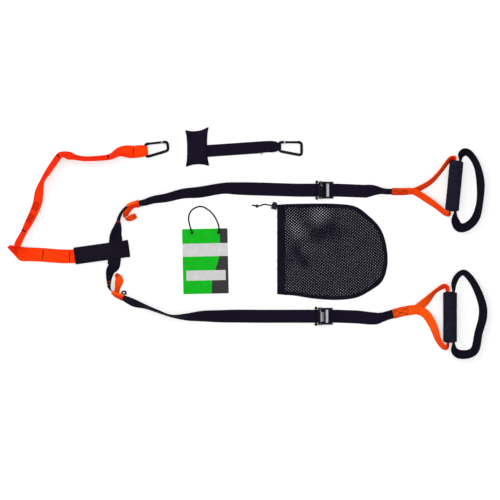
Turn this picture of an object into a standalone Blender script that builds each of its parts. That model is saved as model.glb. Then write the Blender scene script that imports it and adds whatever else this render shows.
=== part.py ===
"""Suspension trainer with its door anchor, carry bag and door card, laid out flat.

The strap set lies on the floor plane z = 0 and is seen from above: +X runs from the
anchor sleeve to the handles, +Y across the layout, +Z up. Every route of webbing is a
list of stops in shares of the layout, and every fitted piece takes its size from the
webbing, pin or tube that it holds.
"""
import math

import bmesh
import bpy
from mathutils import Matrix, Vector

# Layout: all places given as shares are shares of this span.
LAYOUT_SPAN = 1.375
LAYOUT_CENTRE_SHARE = (-0.00352, -0.00140)

# Webbing and the air between sewn or stacked layers.
WEB_THICKNESS = 0.0018
SEAT_GAP = 0.0003
ARM_WEB_WIDTH = 0.036
EXTENDER_WEB_WIDTH = 0.038
YOKE_WEB_WIDTH = 0.028
CRADLE_WEB_WIDTH = 0.038
DOOR_WEB_WIDTH = 0.033
TAB_WEB_WIDTH = 0.025
UPPER_TAB_START = 0.055
LOWER_TAB_START = 0.030
LAYER = WEB_THICKNESS + SEAT_GAP

# Anchor sleeve
SLEEVE_LENGTH = 0.150
SLEEVE_WIDTH = 0.047
SLEEVE_WALL = 0.0022
SLEEVE_TURN = math.radians(8.0)
SLEEVE_PLACE_SHARE = (-0.2965, -0.0205)
SLEEVE_CORNER = 0.004
SLIT_CLEARANCE = 0.002
MAIN_CROSSING = 0.037
SLEEVE_TURN_POINT = 0.063

# Carabiners
CARABINER_LENGTH = 0.062
CARABINER_BAR = 0.0078
CARABINER_WIDE_SHARE = 0.58
CARABINER_NARROW_SHARE = 0.39
GATE_RIVET_RADIUS = 0.0013
GATE_GAP = 0.0008
EYE_CLEARANCE = 0.0006
EYE_RUN = 0.034
EYE_LIFT = CARABINER_BAR + 2 * EYE_CLEARANCE + WEB_THICKNESS
MAIN_EYE_SHARE = 0.66
MAIN_PINCH_SHARE = 0.84
DOOR_EYE_SHARE = 0.39
DOOR_PINCH_SHARE = 0.86
CARABINER_CORNER = 0.0085
GATE_NOSE_SHARE = 0.19
GATE_PIVOT_SHARE = 0.75
GATE_RADIUS = 0.0032
GATE_BOSS_RADIUS = 0.0034
GATE_BOSS_HEIGHT = 0.0058
GATE_FORK_LENGTH = 0.0044
TONGUE_THICKNESS = 0.0024
TONGUE_WIDTH = 0.0050
TONGUE_REACH = 0.0026
RIVET_HEAD_RADIUS = 0.0021
RIVET_HEAD_LENGTH = 0.0006
MAIN_CARABINER_SHARE = (-0.2085, 0.1826)
MAIN_CARABINER_TURN = math.radians(6.0)
DOOR_CARABINER_SHARE = (0.0580, 0.1905)
DOOR_CARABINER_TURN = math.radians(0.0)

# Cam buckles
BUCKLE_LENGTH = 0.051
BUCKLE_PLATE = 0.0022
BUCKLE_SIDE_GAP = 0.003
BASE_PLATE_THICKNESS = 0.0020
FIXED_BAR_THICKNESS = 0.0020
FIXED_BAR_LENGTH = 0.0050
FRONT_BAR_RADIUS = 0.0022
BRIDGE_LENGTH = 0.0092
BRIDGE_THICKNESS = 0.0014
PIN_RADIUS = 0.0020
PIN_HEAD_RADIUS = 0.0034
PIN_HEAD_LENGTH = 0.0014
PIN_FIT = 0.0003
CAM_DRUM_RADIUS = 0.0048
CAM_REACH = 0.0106
CAM_TOOTH = 0.0010
LEVER_CHEEK = 0.0022
LEVER_PLATE = 0.0022
LEVER_SIDE_GAP = 0.0016
SPRING_WIRE = 0.0011
SPRING_TURNS = 3
SPRING_SEAT = 0.0052
UPPER_BUCKLE_SHARE = (0.1490, 0.1036)
LOWER_BUCKLE_SHARE = (0.1475, -0.1484)
SEWN_BACK_LENGTH = 0.044
FRONT_BAR_HEIGHT = 0.0030
FRONT_BAR_SETBACK = 0.0040
PIN_SETBACK = 0.0096
PIN_HEIGHT = 0.0125
PIN_BOSS_RADIUS = 0.0060
BRIDGE_START = 0.0043
BRIDGE_HEIGHT = 0.0066
LEVER_HEIGHT = 0.0034
LEVER_REAR = 0.0074
LEVER_FRONT = 0.0136
LEVER_RIM = 0.0030
EAR_RADIUS = 0.0040
EAR_HEIGHT = 0.0060
CAM_END_GAP = 0.0060

# Handles
GRIP_LENGTH = 0.136
GRIP_LENGTH_SHARE = 0.0989091
GRIP_RADIUS = 0.0192
FOAM_WALL = 0.0052
TUBE_WALL = 0.0018
TUBE_PROUD = 0.0020
YOKE_BORE_OFFSET = 0.0067
CRADLE_BORE_OFFSET = -0.0098
SPIN_GAP = 0.0004
BORE_REACH = 0.0050
BORE_YOKE_SHARE = 0.62
BORE_CRADLE_SHARE = 0.22
FOAM_ROUND = 0.0020
UPPER_GRIP_SHARE = (0.4074, 0.1118)
UPPER_GRIP_LEAN = math.radians(-5.5)
LOWER_GRIP_SHARE = (0.3990, -0.1500)
LOWER_GRIP_LEAN = math.radians(0.0)

# Door anchor
PILLOW_HEIGHT = 0.030
PILLOW_SEAM_HEIGHT = 0.0052
PILLOW_REST_DEPTH = 0.0005
PILLOW_POCKET_STOPS = 3
PILLOW_STEPS = 14
PILLOW_PLACE_SHARE = (-0.1070, 0.1875)

# Carry bag
BAG_PANEL_THICKNESS = 0.0016
BAG_BINDING = 0.0040
BAG_HEM_WIDTH = 0.022
BAG_HEM_THICKNESS = 0.0046
DRAWCORD_DIAMETER = 0.0032
LOCK_LENGTH = 0.020
LOCK_RADIUS = 0.0078
LOCK_WALL = 0.0016
LOCK_BUTTON_TRAVEL = 0.0040
LOCK_FIT = 0.0004
LOCK_BARREL_LENGTH = 0.0150
LOCK_CORD_PLACE = 0.0088
LOCK_SLOT_HALF = 0.0018
LOCK_FOOT = 0.0012
LOCK_SPRING_RADIUS = 0.0036
LOCK_SPRING_WIRE = 0.0006
LOCK_SPRING_TURNS = 3
KNOT_SHARE = 1.8
KNOT_SEAT_SHARE = 0.86

# Door card
CARD_LENGTH = 0.179
CARD_WIDTH = 0.125
CARD_THICKNESS = 0.0010
CARD_PLACE_SHARE = (-0.0892, -0.0385)
CARD_TURN = math.radians(1.2)
CARD_CORNER = 0.0030
CARD_HOLE_RADIUS = 0.0021
CARD_CORD_DIAMETER = 0.0034

# Stops of each route: x share, y share, tilt in degrees, rise in layers, width share.
EXTENDER_SHARES = (
    (-0.2580, 0.1800, 50, 0.0, 1.00),
    (-0.2780, 0.1695, 74, 0.0, 1.00),
    (-0.3000, 0.1665, 82, 0.0, 1.00),
    (-0.3280, 0.1652, 84, 0.0, 1.00),
    (-0.3480, 0.1680, 80, 0.0, 1.00),
    (-0.3610, 0.1715, 62, 0.0, 1.00),
    (-0.3710, 0.1740, 72, 0.0, 1.00),
    (-0.3800, 0.1710, 66, 0.0, 1.00),
    (-0.3905, 0.1570, 78, 0.0, 1.00),
    (-0.4020, 0.1400, 84, 0.0, 1.00),
    (-0.4135, 0.1210, 84, 0.0, 1.00),
    (-0.4200, 0.1000, 56, 0.0, 1.00),
    (-0.4235, 0.0780, 48, 0.0, 1.00),
    (-0.4320, 0.0560, 52, 0.0, 1.00),
    (-0.4410, 0.0380, 60, 0.0, 1.00),
    (-0.4500, 0.0200, 76, 0.0, 1.00),
    (-0.4570, 0.0065, 78, 0.0, 1.00),
    (-0.4655, -0.0030, 36, 0.0, 0.95),
    (-0.4690, -0.0115, 4, 0.0, 0.86),
    (-0.4635, -0.0205, 0, 0.0, 0.88),
    (-0.4540, -0.0240, 0, 0.0, 0.96),
    (-0.4420, -0.0240, 0, 0.0, 1.00),
    (-0.4140, -0.0258, 0, 0.0, 1.00),
    (-0.3780, -0.0285, 0, 0.3, 1.00),
)
MAIN_STRAP_SHARES = (
    (-0.2812, -0.0860, 80, 0.0, 1.00),
    (-0.2812, -0.0720, 74, 0.0, 1.00),
    (-0.2784, -0.0580, 56, 0.0, 1.00),
)
MAIN_STRAP_EXIT_SHARES = (
    (-0.2640, 0.0300, 56, 0.0, 1.00),
    (-0.2624, 0.0430, 79, 0.0, 1.00),
)
MAIN_STRAP_ANGLE = math.radians(86.0)
UPPER_ARM_SHARES = (
    (-0.26231, 0.04326, 79, 0.0, 1.00),
    (-0.26190, 0.0459, 79, 0.0, 1.00),
    (-0.2570, 0.0575, 82, 0.0, 1.00),
    (-0.2480, 0.0680, 82, 0.5, 1.00),
    (-0.2370, 0.0735, 76, 1.8, 1.00),
    (-0.2240, 0.0768, 70, 1.8, 1.00),
    (-0.2100, 0.0795, 66, 0.6, 1.00),
    (-0.1920, 0.0850, 60, 0.0, 1.00),
    (-0.1660, 0.0890, 54, 0.0, 1.00),
    (-0.1340, 0.0970, 47, 0.0, 1.00),
    (-0.1000, 0.1000, 38, 0.0, 1.00),
    (-0.0540, 0.1075, 38, 0.0, 1.00),
    (-0.0200, 0.1070, 20, 0.0, 1.00),
    (0.0240, 0.1058, 5, 0.0, 1.00),
)
LOWER_ARM_SHARES = (
    (-0.2812, -0.08626, 100, 0.0, 1.00),
    (-0.2811, -0.0892, 99, 0.0, 1.00),
    (-0.2775, -0.0965, 90, 0.6, 1.00),
    (-0.2680, -0.1040, 78, 1.7, 1.00),
    (-0.2560, -0.1090, 72, 1.7, 1.00),
    (-0.2440, -0.1150, 62, 0.6, 1.00),
    (-0.2300, -0.1215, 58, 0.0, 1.00),
    (-0.2080, -0.1285, 74, 0.0, 1.00),
    (-0.1840, -0.1375, 80, 0.0, 1.00),
    (-0.1565, -0.1470, 82, 0.0, 1.00),
    (-0.1260, -0.1490, 60, 0.0, 1.00),
    (-0.0940, -0.1475, 38, 0.0, 1.00),
    (-0.0600, -0.1480, 22, 0.0, 1.00),
    (-0.0200, -0.1480, 8, 0.0, 1.00),
    (0.0240, -0.1484, 3, 0.0, 1.00),
)
UPPER_LEAD_SHARES = (
    (0.2300, 0.1014, 6, 0.0, 1.00),
    (0.2460, 0.1030, 30, 0.0, 0.94),
    (0.2620, 0.1018, 54, 0.6, 0.80),
    (0.2730, 0.1006, 58, 1.0, 0.778),
    (0.2830, 0.1006, 58, 1.0, 0.778),
    (0.2930, 0.1006, 58, 1.0, 0.778),
)
LOWER_LEAD_SHARES = (
    (0.2160, -0.1500, 2, 0.0, 1.00),
    (0.2480, -0.1530, 10, 0.0, 0.96),
    (0.2640, -0.1502, 25, 0.6, 0.82),
    (0.2760, -0.1464, 28, 1.0, 0.778),
    (0.2860, -0.1438, 28, 1.0, 0.778),
    (0.2960, -0.1412, 28, 1.0, 0.778),
)
UPPER_YOKE_OUT_SHARES = (
    (0.2830, 0.1006, 58, 1.0, 1.00),
    (0.2930, 0.1006, 58, 1.0, 1.00),
    (0.3060, 0.1006, 58, 1.0, 1.00),
    (0.3280, 0.0990, 60, 1.0, 1.00),
    (0.3530, 0.0840, 66, 0.8, 1.00),
    (0.3740, 0.0690, 78, 1.0, 0.92),
    (0.3880, 0.0575, 86, 3.0, 0.80),
    (0.3965, 0.0540, 90, 4.6, 0.68),
)
UPPER_YOKE_BACK_SHARES = (
    (0.4040, 0.1690, 90, 4.6, 0.68),
    (0.3960, 0.1640, 92, 3.0, 0.80),
    (0.3770, 0.1390, 98, 1.0, 0.92),
    (0.3570, 0.1190, 108, 0.0, 1.00),
    (0.3280, 0.1040, 120, 1.0, 1.00),
    (0.3060, 0.1006, 122, 1.0, 1.00),
    (0.2930, 0.1006, 122, 1.0, 1.00),
    (0.2830, 0.1006, 122, 1.0, 1.00),
)
LOWER_YOKE_OUT_SHARES = (
    (0.2860, -0.1438, 28, 1.0, 1.00),
    (0.2960, -0.1412, 28, 1.0, 1.00),
    (0.3083, -0.1380, 28, 1.0, 1.00),
    (0.3300, -0.1360, 26, 1.0, 1.00),
    (0.3500, -0.1440, 30, 1.0, 1.00),
    (0.3650, -0.1680, 40, 1.0, 1.00),
    (0.3745, -0.1950, 68, 1.4, 0.88),
    (0.3850, -0.2100, 88, 3.6, 0.74),
    (0.3925, -0.2125, 90, 4.6, 0.68),
)
LOWER_YOKE_BACK_SHARES = (
    (0.3930, -0.0885, 90, 4.6, 0.68),
    (0.3850, -0.0875, 96, 3.6, 0.76),
    (0.3680, -0.0985, 118, 1.2, 0.92),
    (0.3500, -0.1180, 142, 1.0, 1.00),
    (0.3300, -0.1340, 152, 1.0, 1.00),
    (0.3083, -0.1380, 152, 1.0, 1.00),
    (0.2960, -0.1412, 152, 1.0, 1.00),
    (0.2860, -0.1438, 152, 1.0, 1.00),
)
UPPER_CRADLE_SHARES = (
    (0.4212, 0.1740, 66, 1.4, 0.55),
    (0.4285, 0.1795, 56, 0.3, 0.88),
    (0.4400, 0.1740, 54, 0.0, 1.00),
    (0.4530, 0.1520, 54, 0.0, 1.00),
    (0.4600, 0.1180, 54, 0.0, 1.00),
    (0.4585, 0.0800, 54, 0.0, 1.00),
    (0.4500, 0.0480, 56, 0.0, 1.00),
    (0.4330, 0.0310, 60, 0.0, 1.00),
    (0.4170, 0.0295, 66, 0.3, 0.86),
    (0.4095, 0.0430, 74, 1.8, 0.52),
)
LOWER_CRADLE_SHARES = (
    (0.4075, -0.0810, 66, 1.4, 0.55),
    (0.4155, -0.0665, 56, 0.3, 0.88),
    (0.4290, -0.0620, 54, 0.0, 1.00),
    (0.4480, -0.0850, 54, 0.0, 1.00),
    (0.4630, -0.1220, 54, 0.0, 1.00),
    (0.4645, -0.1500, 54, 0.0, 1.00),
    (0.4560, -0.1820, 54, 0.0, 1.00),
    (0.4500, -0.2120, 56, 0.0, 1.00),
    (0.4380, -0.2230, 60, 0.0, 1.00),
    (0.4180, -0.2240, 66, 0.3, 0.86),
    (0.4080, -0.2165, 74, 1.8, 0.52),
)
UPPER_PULL_SHARES = (
    (-0.2420, 0.0640, 102, 0.0, 0.90),
    (-0.2480, 0.0565, 100, 0.0, 1.00),
    (-0.2500, 0.0505, 94, 0.0, 1.00),
    (-0.2460, 0.0465, 80, 0.0, 1.00),
    (-0.2380, 0.0480, 66, 0.0, 1.00),
    (-0.2270, 0.0530, 64, 0.0, 0.80),
)
LOWER_PULL_SHARES = (
    (-0.2645, -0.0920, 62, 0.0, 0.86),
    (-0.2625, -0.0830, 52, 0.0, 1.00),
    (-0.2610, -0.0760, 50, 0.0, 1.00),
    (-0.2635, -0.0690, 60, 0.0, 0.90),
    (-0.2690, -0.0645, 68, 0.0, 0.66),
)
DOOR_STRAP_SHARES = (
    (-0.0915, 0.1815, 0, 0.0, 1.00),
    (-0.0400, 0.1850, 4, 0.0, 1.00),
    (0.0100, 0.1885, 4, 0.0, 1.00),
)
PILLOW_CORNER_SHARES = ((-0.0200, -0.0360), (0.0240, -0.0340), (0.0230, 0.0410), (-0.0210, 0.0345))
PILLOW_WAIST_SHARE = 0.10
BAG_OUTLINE_SHARES = (
    (0.0540, 0.0720), (0.0700, 0.0745), (0.1300, 0.0755), (0.1800, 0.0745), (0.2120, 0.0690),
    (0.2380, 0.0500), (0.2570, 0.0300), (0.2680, 0.0060), (0.2735, -0.0260), (0.2720, -0.0540),
    (0.2620, -0.0790), (0.2400, -0.0960), (0.2120, -0.1100), (0.1740, -0.1145), (0.1290, -0.1120),
    (0.0900, -0.1060), (0.0540, -0.1030),
)
BAG_HEM_SHARES = (0.0540, -0.1010, 0.0640)
BAG_BINDING_END_SHARE = (0.0700, -0.1045)
LOCK_PLACE_SHARE = (0.0485, 0.0716)
LOCK_TURN = math.radians(-11.3)
DRAWCORD_SHARES = (
    (0.0620, -0.0960, 0.72), (0.0620, -0.0300, 0.72), (0.0620, 0.0300, 0.72), (0.0620, 0.0600, 0.72),
    (0.0618, 0.0652, 1.00), (0.0602, 0.0686, 1.90), (0.0572, 0.0699, 2.45), (0.0530, 0.0707, 2.45),
    (0.0485, 0.0716, 2.45), (0.0440, 0.0725, 2.45), (0.0400, 0.0733, 2.45), (0.0360, 0.0741, 2.45),
    (0.0320, 0.0749, 2.35), (0.0290, 0.0752, 1.50), (0.0262, 0.0748, 0.70), (0.0220, 0.0731, 0.54),
    (0.0180, 0.0722, 0.54), (0.0140, 0.0718, 0.54),
)
CARD_HOLE_SHARES = ((-0.28378, 0.44286), (0.29909, 0.43434))
CARD_CORD_END_SHARES = ((-0.1162, 0.0186), (-0.0632, 0.0186))
CARD_CORD_SHARES = (
    (-0.1164, 0.0200, 1.3), (-0.1172, 0.0235, 1.2), (-0.1190, 0.0290, 1.0), (-0.1215, 0.0380, 0.55),
    (-0.1228, 0.0460, 0.55), (-0.1222, 0.0540, 0.55), (-0.1190, 0.0610, 0.55), (-0.1140, 0.0660, 0.55),
    (-0.1070, 0.0695, 0.55), (-0.1000, 0.0712, 0.55), (-0.0930, 0.0700, 0.55), (-0.0860, 0.0664, 0.55),
    (-0.0790, 0.0612, 0.55), (-0.0730, 0.0545, 0.55), (-0.0680, 0.0470, 0.55), (-0.0642, 0.0390, 0.55),
    (-0.0620, 0.0300, 1.0), (-0.0622, 0.0235, 1.2), (-0.0630, 0.0200, 1.3),
)

# Fineness of the built shapes, in counts.
ROUTE_STEPS = 3
TURN_STEPS = 6
ROUND_STEPS = 24

BLACK_WEBBING = ("black_webbing", (0.012, 0.010, 0.018), 0.85, 0.0)
ORANGE_WEBBING = ("orange_webbing", (0.95, 0.07, 0.01), 0.75, 0.0)
FOAM = ("black_foam", (0.02, 0.02, 0.026), 0.95, 0.0)
PLASTIC = ("black_plastic", (0.015, 0.015, 0.018), 0.45, 0.0)
BLACK_METAL = ("black_coated_metal", (0.01, 0.01, 0.012), 0.30, 0.9)
STEEL = ("bright_steel", (0.62, 0.62, 0.63), 0.25, 1.0)
MESH_CLOTH = ("mesh_cloth", (0.02, 0.02, 0.028), 0.9, 0.0)
CARD_GREEN = ("green_card", (0.01, 0.42, 0.02), 0.4, 0.0)

UP = Vector((0.0, 0.0, 1.0))
WORK = {}


def start_scene():
    """Empty the scene and make the collections for the parts and for the cutters."""
    for item in list(bpy.data.objects):
        bpy.data.objects.remove(item, do_unlink=True)
    for key, title in (("parts", "suspension_trainer"), ("cutters", "cutters")):
        collection = bpy.data.collections.new(title)
        bpy.context.scene.collection.children.link(collection)
        WORK[key] = collection
    root = bpy.data.objects.new("layout_centre", None)
    WORK["parts"].objects.link(root)
    root.location = (-LAYOUT_CENTRE_SHARE[0] * LAYOUT_SPAN, -LAYOUT_CENTRE_SHARE[1] * LAYOUT_SPAN, 0.0)
    WORK["root"] = root


def material(finish):
    """The material of a finish, made once."""
    title, colour, roughness, metallic = finish
    found = bpy.data.materials.get(title)
    if found:
        return found
    made = bpy.data.materials.new(title)
    made.use_nodes = True
    shader = made.node_tree.nodes["Principled BSDF"]
    shader.inputs["Base Color"].default_value = (*colour, 1.0)
    shader.inputs["Roughness"].default_value = roughness
    shader.inputs["Metallic"].default_value = metallic
    made.diffuse_color = (*colour, 1.0)
    return made


def add_object(name, data, finish, parent=None, group="parts"):
    """Link a new object that holds the data, dressed in a finish."""
    made = bpy.data.objects.new(name, data)
    WORK[group].objects.link(made)
    data.materials.append(material(finish))
    made.parent = parent or WORK["root"]
    return made


def mesh_object(name, bm, finish, parent=None, smooth=False):
    """Turn a bmesh into a welded object whose faces point out."""
    bmesh.ops.remove_doubles(bm, verts=bm.verts, dist=0.000005)
    bmesh.ops.recalc_face_normals(bm, faces=bm.faces)
    data = bpy.data.meshes.new(name)
    bm.to_mesh(data)
    bm.free()
    if smooth:
        data.shade_smooth()
        data.set_sharp_from_angle(angle=math.radians(40.0))
    return add_object(name, data, finish, parent)


def curve_to_solid(curve_object, name, finish, parent=None, smooth=False):
    """Replace a curve object by its welded mesh, in the same place."""
    bpy.context.view_layer.update()
    graph = bpy.context.evaluated_depsgraph_get()
    data = bpy.data.meshes.new_from_object(curve_object.evaluated_get(graph))
    bm = bmesh.new()
    bm.from_mesh(data)
    bpy.data.meshes.remove(data)
    bpy.data.objects.remove(curve_object, do_unlink=True)
    return mesh_object(name, bm, finish, parent, smooth)


def place_empty(name, location, turn=0.0, parent=None):
    """An empty that carries the pieces of one place or one joint."""
    made = bpy.data.objects.new(name, None)
    WORK["parts"].objects.link(made)
    made.location = location
    made.rotation_euler = (0.0, 0.0, turn)
    made.parent = parent or WORK["root"]
    made.empty_display_size = SLEEVE_WALL
    return made


def at_share(share, height=0.0):
    """A point of the layout from its shares."""
    return Vector((share[0] * LAYOUT_SPAN, share[1] * LAYOUT_SPAN, height))


def flat_plate(name, outlines, thickness, finish, parent=None, upright=False):
    """A flat outline, with its holes, given a thickness. Upright turns its y to height."""
    data = bpy.data.curves.new(name, "CURVE")
    data.dimensions = "2D"
    data.fill_mode = "BOTH"
    data.extrude = thickness / 2
    for outline in outlines:
        spline = data.splines.new("POLY")
        spline.points.add(len(outline) - 1)
        for point, (x, y) in zip(spline.points, outline):
            point.co = (x, y, 0.0, 1.0)
        spline.use_cyclic_u = True
    guide = bpy.data.objects.new(name, data)
    WORK["parts"].objects.link(guide)
    made = curve_to_solid(guide, name, finish, parent)
    if upright:
        made.data.transform(Matrix.Rotation(math.radians(90.0), 4, "X"))
    return made


def tube(name, points, radius, finish, parent=None, closed=False, fineness=2):
    """A round bar or cord along a list of points."""
    data = bpy.data.curves.new(name, "CURVE")
    data.dimensions = "3D"
    data.bevel_depth = radius
    data.bevel_resolution = fineness
    data.use_fill_caps = True
    spline = data.splines.new("POLY")
    spline.points.add(len(points) - 1)
    for point, place in zip(spline.points, points):
        point.co = (*place, 1.0)
    spline.use_cyclic_u = closed
    guide = bpy.data.objects.new(name, data)
    WORK["parts"].objects.link(guide)
    return curve_to_solid(guide, name, finish, parent, smooth=True)


def turned(name, profile, finish, parent=None, steps=ROUND_STEPS, open_ends=True):
    """A profile of (radius, height) turned about the local Z axis with a Screw modifier."""
    data = bpy.data.meshes.new(name)
    corners = [(radius, 0.0, height) for radius, height in profile]
    edges = [(i, i + 1) for i in range(len(corners) - 1)]
    if open_ends:
        edges.append((len(corners) - 1, 0))
    data.from_pydata(corners, edges, [])
    made = add_object(name, data, finish, parent)
    screw = made.modifiers.new("turn", "SCREW")
    screw.axis = "Z"
    screw.angle = math.radians(360.0)
    screw.steps = steps
    screw.render_steps = steps
    screw.use_merge_vertices = True
    screw.merge_threshold = 0.000005
    screw.use_smooth_shade = True
    return made


def cut(target, cutter, operation="DIFFERENCE"):
    """Cut or join a helper solid with the exact solver and hide the helper."""
    step = target.modifiers.new(operation.lower(), "BOOLEAN")
    step.operation = operation
    step.solver = "EXACT"
    step.object = cutter
    for collection in list(cutter.users_collection):
        collection.objects.unlink(cutter)
    WORK["cutters"].objects.link(cutter)
    cutter.hide_render = True
    cutter.display_type = "WIRE"


def box(name, low, high, finish, parent=None):
    """A block between two corners."""
    bm = bmesh.new()
    bmesh.ops.create_cube(bm, size=1.0)
    size = Vector(high) - Vector(low)
    middle = (Vector(high) + Vector(low)) / 2
    bmesh.ops.scale(bm, vec=size, verts=bm.verts)
    bmesh.ops.translate(bm, vec=middle, verts=bm.verts)
    return mesh_object(name, bm, finish, parent)


def arc(centre, radius, start, end, steps):
    """Points of an arc about a centre, angles in degrees."""
    points = []
    for i in range(steps + 1):
        angle = math.radians(start + (end - start) * i / steps)
        points.append((centre[0] + radius * math.cos(angle), centre[1] + radius * math.sin(angle)))
    return points


def circle(centre, radius, steps):
    """A closed ring of points, without the repeated last one."""
    return arc(centre, radius, 0.0, 360.0, steps)[:-1]


def smooth_rows(rows, steps, closed=False):
    """Rows of numbers read from a smooth curve through the given rows."""
    count = len(rows)
    spans = count if closed else count - 1
    result = []
    for i in range(spans):
        if closed:
            quad = [rows[(i + k - 1) % count] for k in range(4)]
        else:
            quad = [rows[min(max(i + k - 1, 0), count - 1)] for k in range(4)]
        for step in range(steps):
            t = step / steps
            blend = (
                (-t + 2 * t * t - t ** 3) / 2,
                (2 - 5 * t * t + 3 * t ** 3) / 2,
                (t + 4 * t * t - 3 * t ** 3) / 2,
                (t ** 3 - t * t) / 2,
            )
            result.append([sum(w * row[k] for w, row in zip(blend, quad)) for k in range(len(rows[0]))])
    if not closed:
        result.append(list(rows[-1]))
    return result


def share_rows(shares):
    """Stops in shares turned to rows in metres: x, y, tilt, rise, width share."""
    return [[x * LAYOUT_SPAN, y * LAYOUT_SPAN, tilt, rise * LAYER, wide] for x, y, tilt, rise, wide in shares]


class Frame:
    """One section of a webbing: its middle, the way across it and the way out of its face."""

    def __init__(self, middle, across, out, width):
        self.middle = middle
        self.across = across
        self.out = out
        self.width = width

    def moved(self, distance):
        """The same section moved out of its face."""
        return Frame(self.middle + self.out * distance, self.across, self.out, self.width)

    def onward(self, distance):
        """The same section moved along the webbing."""
        return Frame(self.middle + self.across.cross(self.out) * distance, self.across, self.out, self.width)

    def widened(self, extra):
        """The same section, wider."""
        return Frame(self.middle.copy(), self.across, self.out, self.width + extra)

    def turned_over(self):
        """The same section for webbing that runs the other way, face down."""
        return Frame(self.middle.copy(), self.across, -self.out, self.width)


def route_frames(rows, width, steps=ROUTE_STEPS, closed=False, grounded=True):
    """Sections along smoothed rows. A grounded row stands its lower edge on z = 0 plus its rise."""
    stops = smooth_rows(rows, steps, closed)
    frames = []
    count = len(stops)
    for i, (x, y, tilt, rise, wide) in enumerate(stops):
        before = stops[(i - 1) % count] if closed else stops[max(i - 1, 0)]
        after = stops[(i + 1) % count] if closed else stops[min(i + 1, count - 1)]
        along = Vector((after[0] - before[0], after[1] - before[1], 0.0)).normalized()
        side = Vector((-along.y, along.x, 0.0))
        angle = math.radians(tilt)
        across = side * math.cos(angle) + UP * math.sin(angle)
        out = UP * math.cos(angle) - side * math.sin(angle)
        height = max(rise, 0.0)
        if grounded:
            height += abs(math.sin(angle)) * width * wide / 2 + abs(math.cos(angle)) * WEB_THICKNESS / 2
        frames.append(Frame(Vector((x, y, height)), across, out, width * wide))
    return frames


def profile_frames(points, across, width):
    """Sections of webbing that keeps one way across and follows points in an upright plane."""
    frames = []
    for i, point in enumerate(points):
        along = (points[min(i + 1, len(points) - 1)] - points[max(i - 1, 0)]).normalized()
        frames.append(Frame(Vector(point), across, along.cross(across).normalized(), width))
    return frames


def turn_frames(last, radius, pinch_share=1.0, steps=TURN_STEPS):
    """Half a turn round a bar that lies at a radius out of the last section's face."""
    centre = last.middle + last.out * radius
    forward = last.across.cross(last.out).normalized()
    frames = []
    for i in range(1, steps):
        angle = math.pi * i / steps
        away = forward * math.sin(angle) - last.out * math.cos(angle)
        width = last.width * (1.0 - (1.0 - pinch_share) * math.sin(angle))
        frames.append(Frame(centre + away * radius, last.across, -away, width))
    return frames


def webbing(name, frames, finish, parent=None, closed=False, thickness=WEB_THICKNESS):
    """Loft the flat section of a webbing through its frames."""
    bm = bmesh.new()
    rings = []
    for frame in frames:
        half = frame.across * frame.width / 2
        face = frame.out * thickness / 2
        corners = (half + face, face - half, -half - face, half - face)
        rings.append([bm.verts.new(frame.middle + corner) for corner in corners])
    pairs = list(zip(rings, rings[1:]))
    if closed:
        pairs.append((rings[-1], rings[0]))
    else:
        bm.faces.new(rings[0])
        bm.faces.new(list(reversed(rings[-1])))
    for one, two in pairs:
        for k in range(4):
            bm.faces.new((one[k], one[(k + 1) % 4], two[(k + 1) % 4], two[k]))
    bmesh.ops.triangulate(bm, faces=bm.faces)
    return mesh_object(name, bm, finish, parent)


def lengths_along(frames):
    """How far along the webbing each section lies."""
    total = 0.0
    result = [0.0]
    for one, two in zip(frames, frames[1:]):
        total += (two.middle - one.middle).length
        result.append(total)
    return result


def stretch(frames, start, end):
    """The sections that lie between two lengths along the webbing."""
    return [frame for frame, length in zip(frames, lengths_along(frames)) if start <= length <= end]


def fitted_to_grip(rows, grip_share):
    """Rows laid out round a handle, sized with its grip about the grip's middle."""
    centre = at_share(grip_share)
    size = GRIP_LENGTH / (GRIP_LENGTH_SHARE * LAYOUT_SPAN)
    return [[centre.x + (row[0] - centre.x) * size, centre.y + (row[1] - centre.y) * size, *row[2:]] for row in rows]


def drawn_out(rows, seam):
    """Rows whose run from the first stop to the last one but two is drawn out to end at the seam."""
    start = Vector(rows[0][:2])
    end = Vector(rows[-3][:2])
    size = (Vector(seam[:2]) - start).length / (end - start).length
    return [[*(start + (Vector(row[:2]) - start) * size), *row[2:]] for row in rows[:-3]]


def flat_row(point, rise=0.0, width_share=1.0):
    """A stop of webbing that lies flat."""
    return [point.x, point.y, 0.0, rise, width_share]


def anchor_sleeve():
    """The padded sleeve: a flat pocket, open at its left end and slit where the strap crosses."""
    place = place_empty("sleeve_place", at_share(SLEEVE_PLACE_SHARE), SLEEVE_TURN)
    height = 2 * SLEEVE_WALL + 3 * LAYER + SEAT_GAP
    half_length = SLEEVE_LENGTH / 2
    half_width = SLEEVE_WIDTH / 2
    outline = []
    for x, y, start in ((1, 1, 0), (-1, 1, 90), (-1, -1, 180), (1, -1, 270)):
        centre = (x * (half_length - SLEEVE_CORNER), y * (half_width - SLEEVE_CORNER))
        outline += arc(centre, SLEEVE_CORNER, start, start + 90, 4)
    sleeve = flat_plate("anchor_sleeve", [outline], height, BLACK_WEBBING, place)
    sleeve.location = (0.0, 0.0, height / 2)
    pocket_half = EXTENDER_WEB_WIDTH / 2 + 2 * SEAT_GAP
    top = height - SLEEVE_WALL
    pocket = box("sleeve_pocket", (-SLEEVE_LENGTH, -pocket_half, SLEEVE_WALL),
                 (half_length - 2 * SLEEVE_WALL, pocket_half, top), BLACK_WEBBING, place)
    cut(sleeve, pocket)
    skew = MAIN_STRAP_ANGLE - math.pi / 2 - SLEEVE_TURN
    slit_half = ARM_WEB_WIDTH / 2 / math.cos(skew) + abs(math.tan(skew)) * half_width + SLIT_CLEARANCE
    slit = box("sleeve_slit", (MAIN_CROSSING - slit_half, -SLEEVE_WIDTH, SLEEVE_WALL),
               (MAIN_CROSSING + slit_half, SLEEVE_WIDTH, top), BLACK_WEBBING, place)
    cut(sleeve, slit)
    return place


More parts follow.
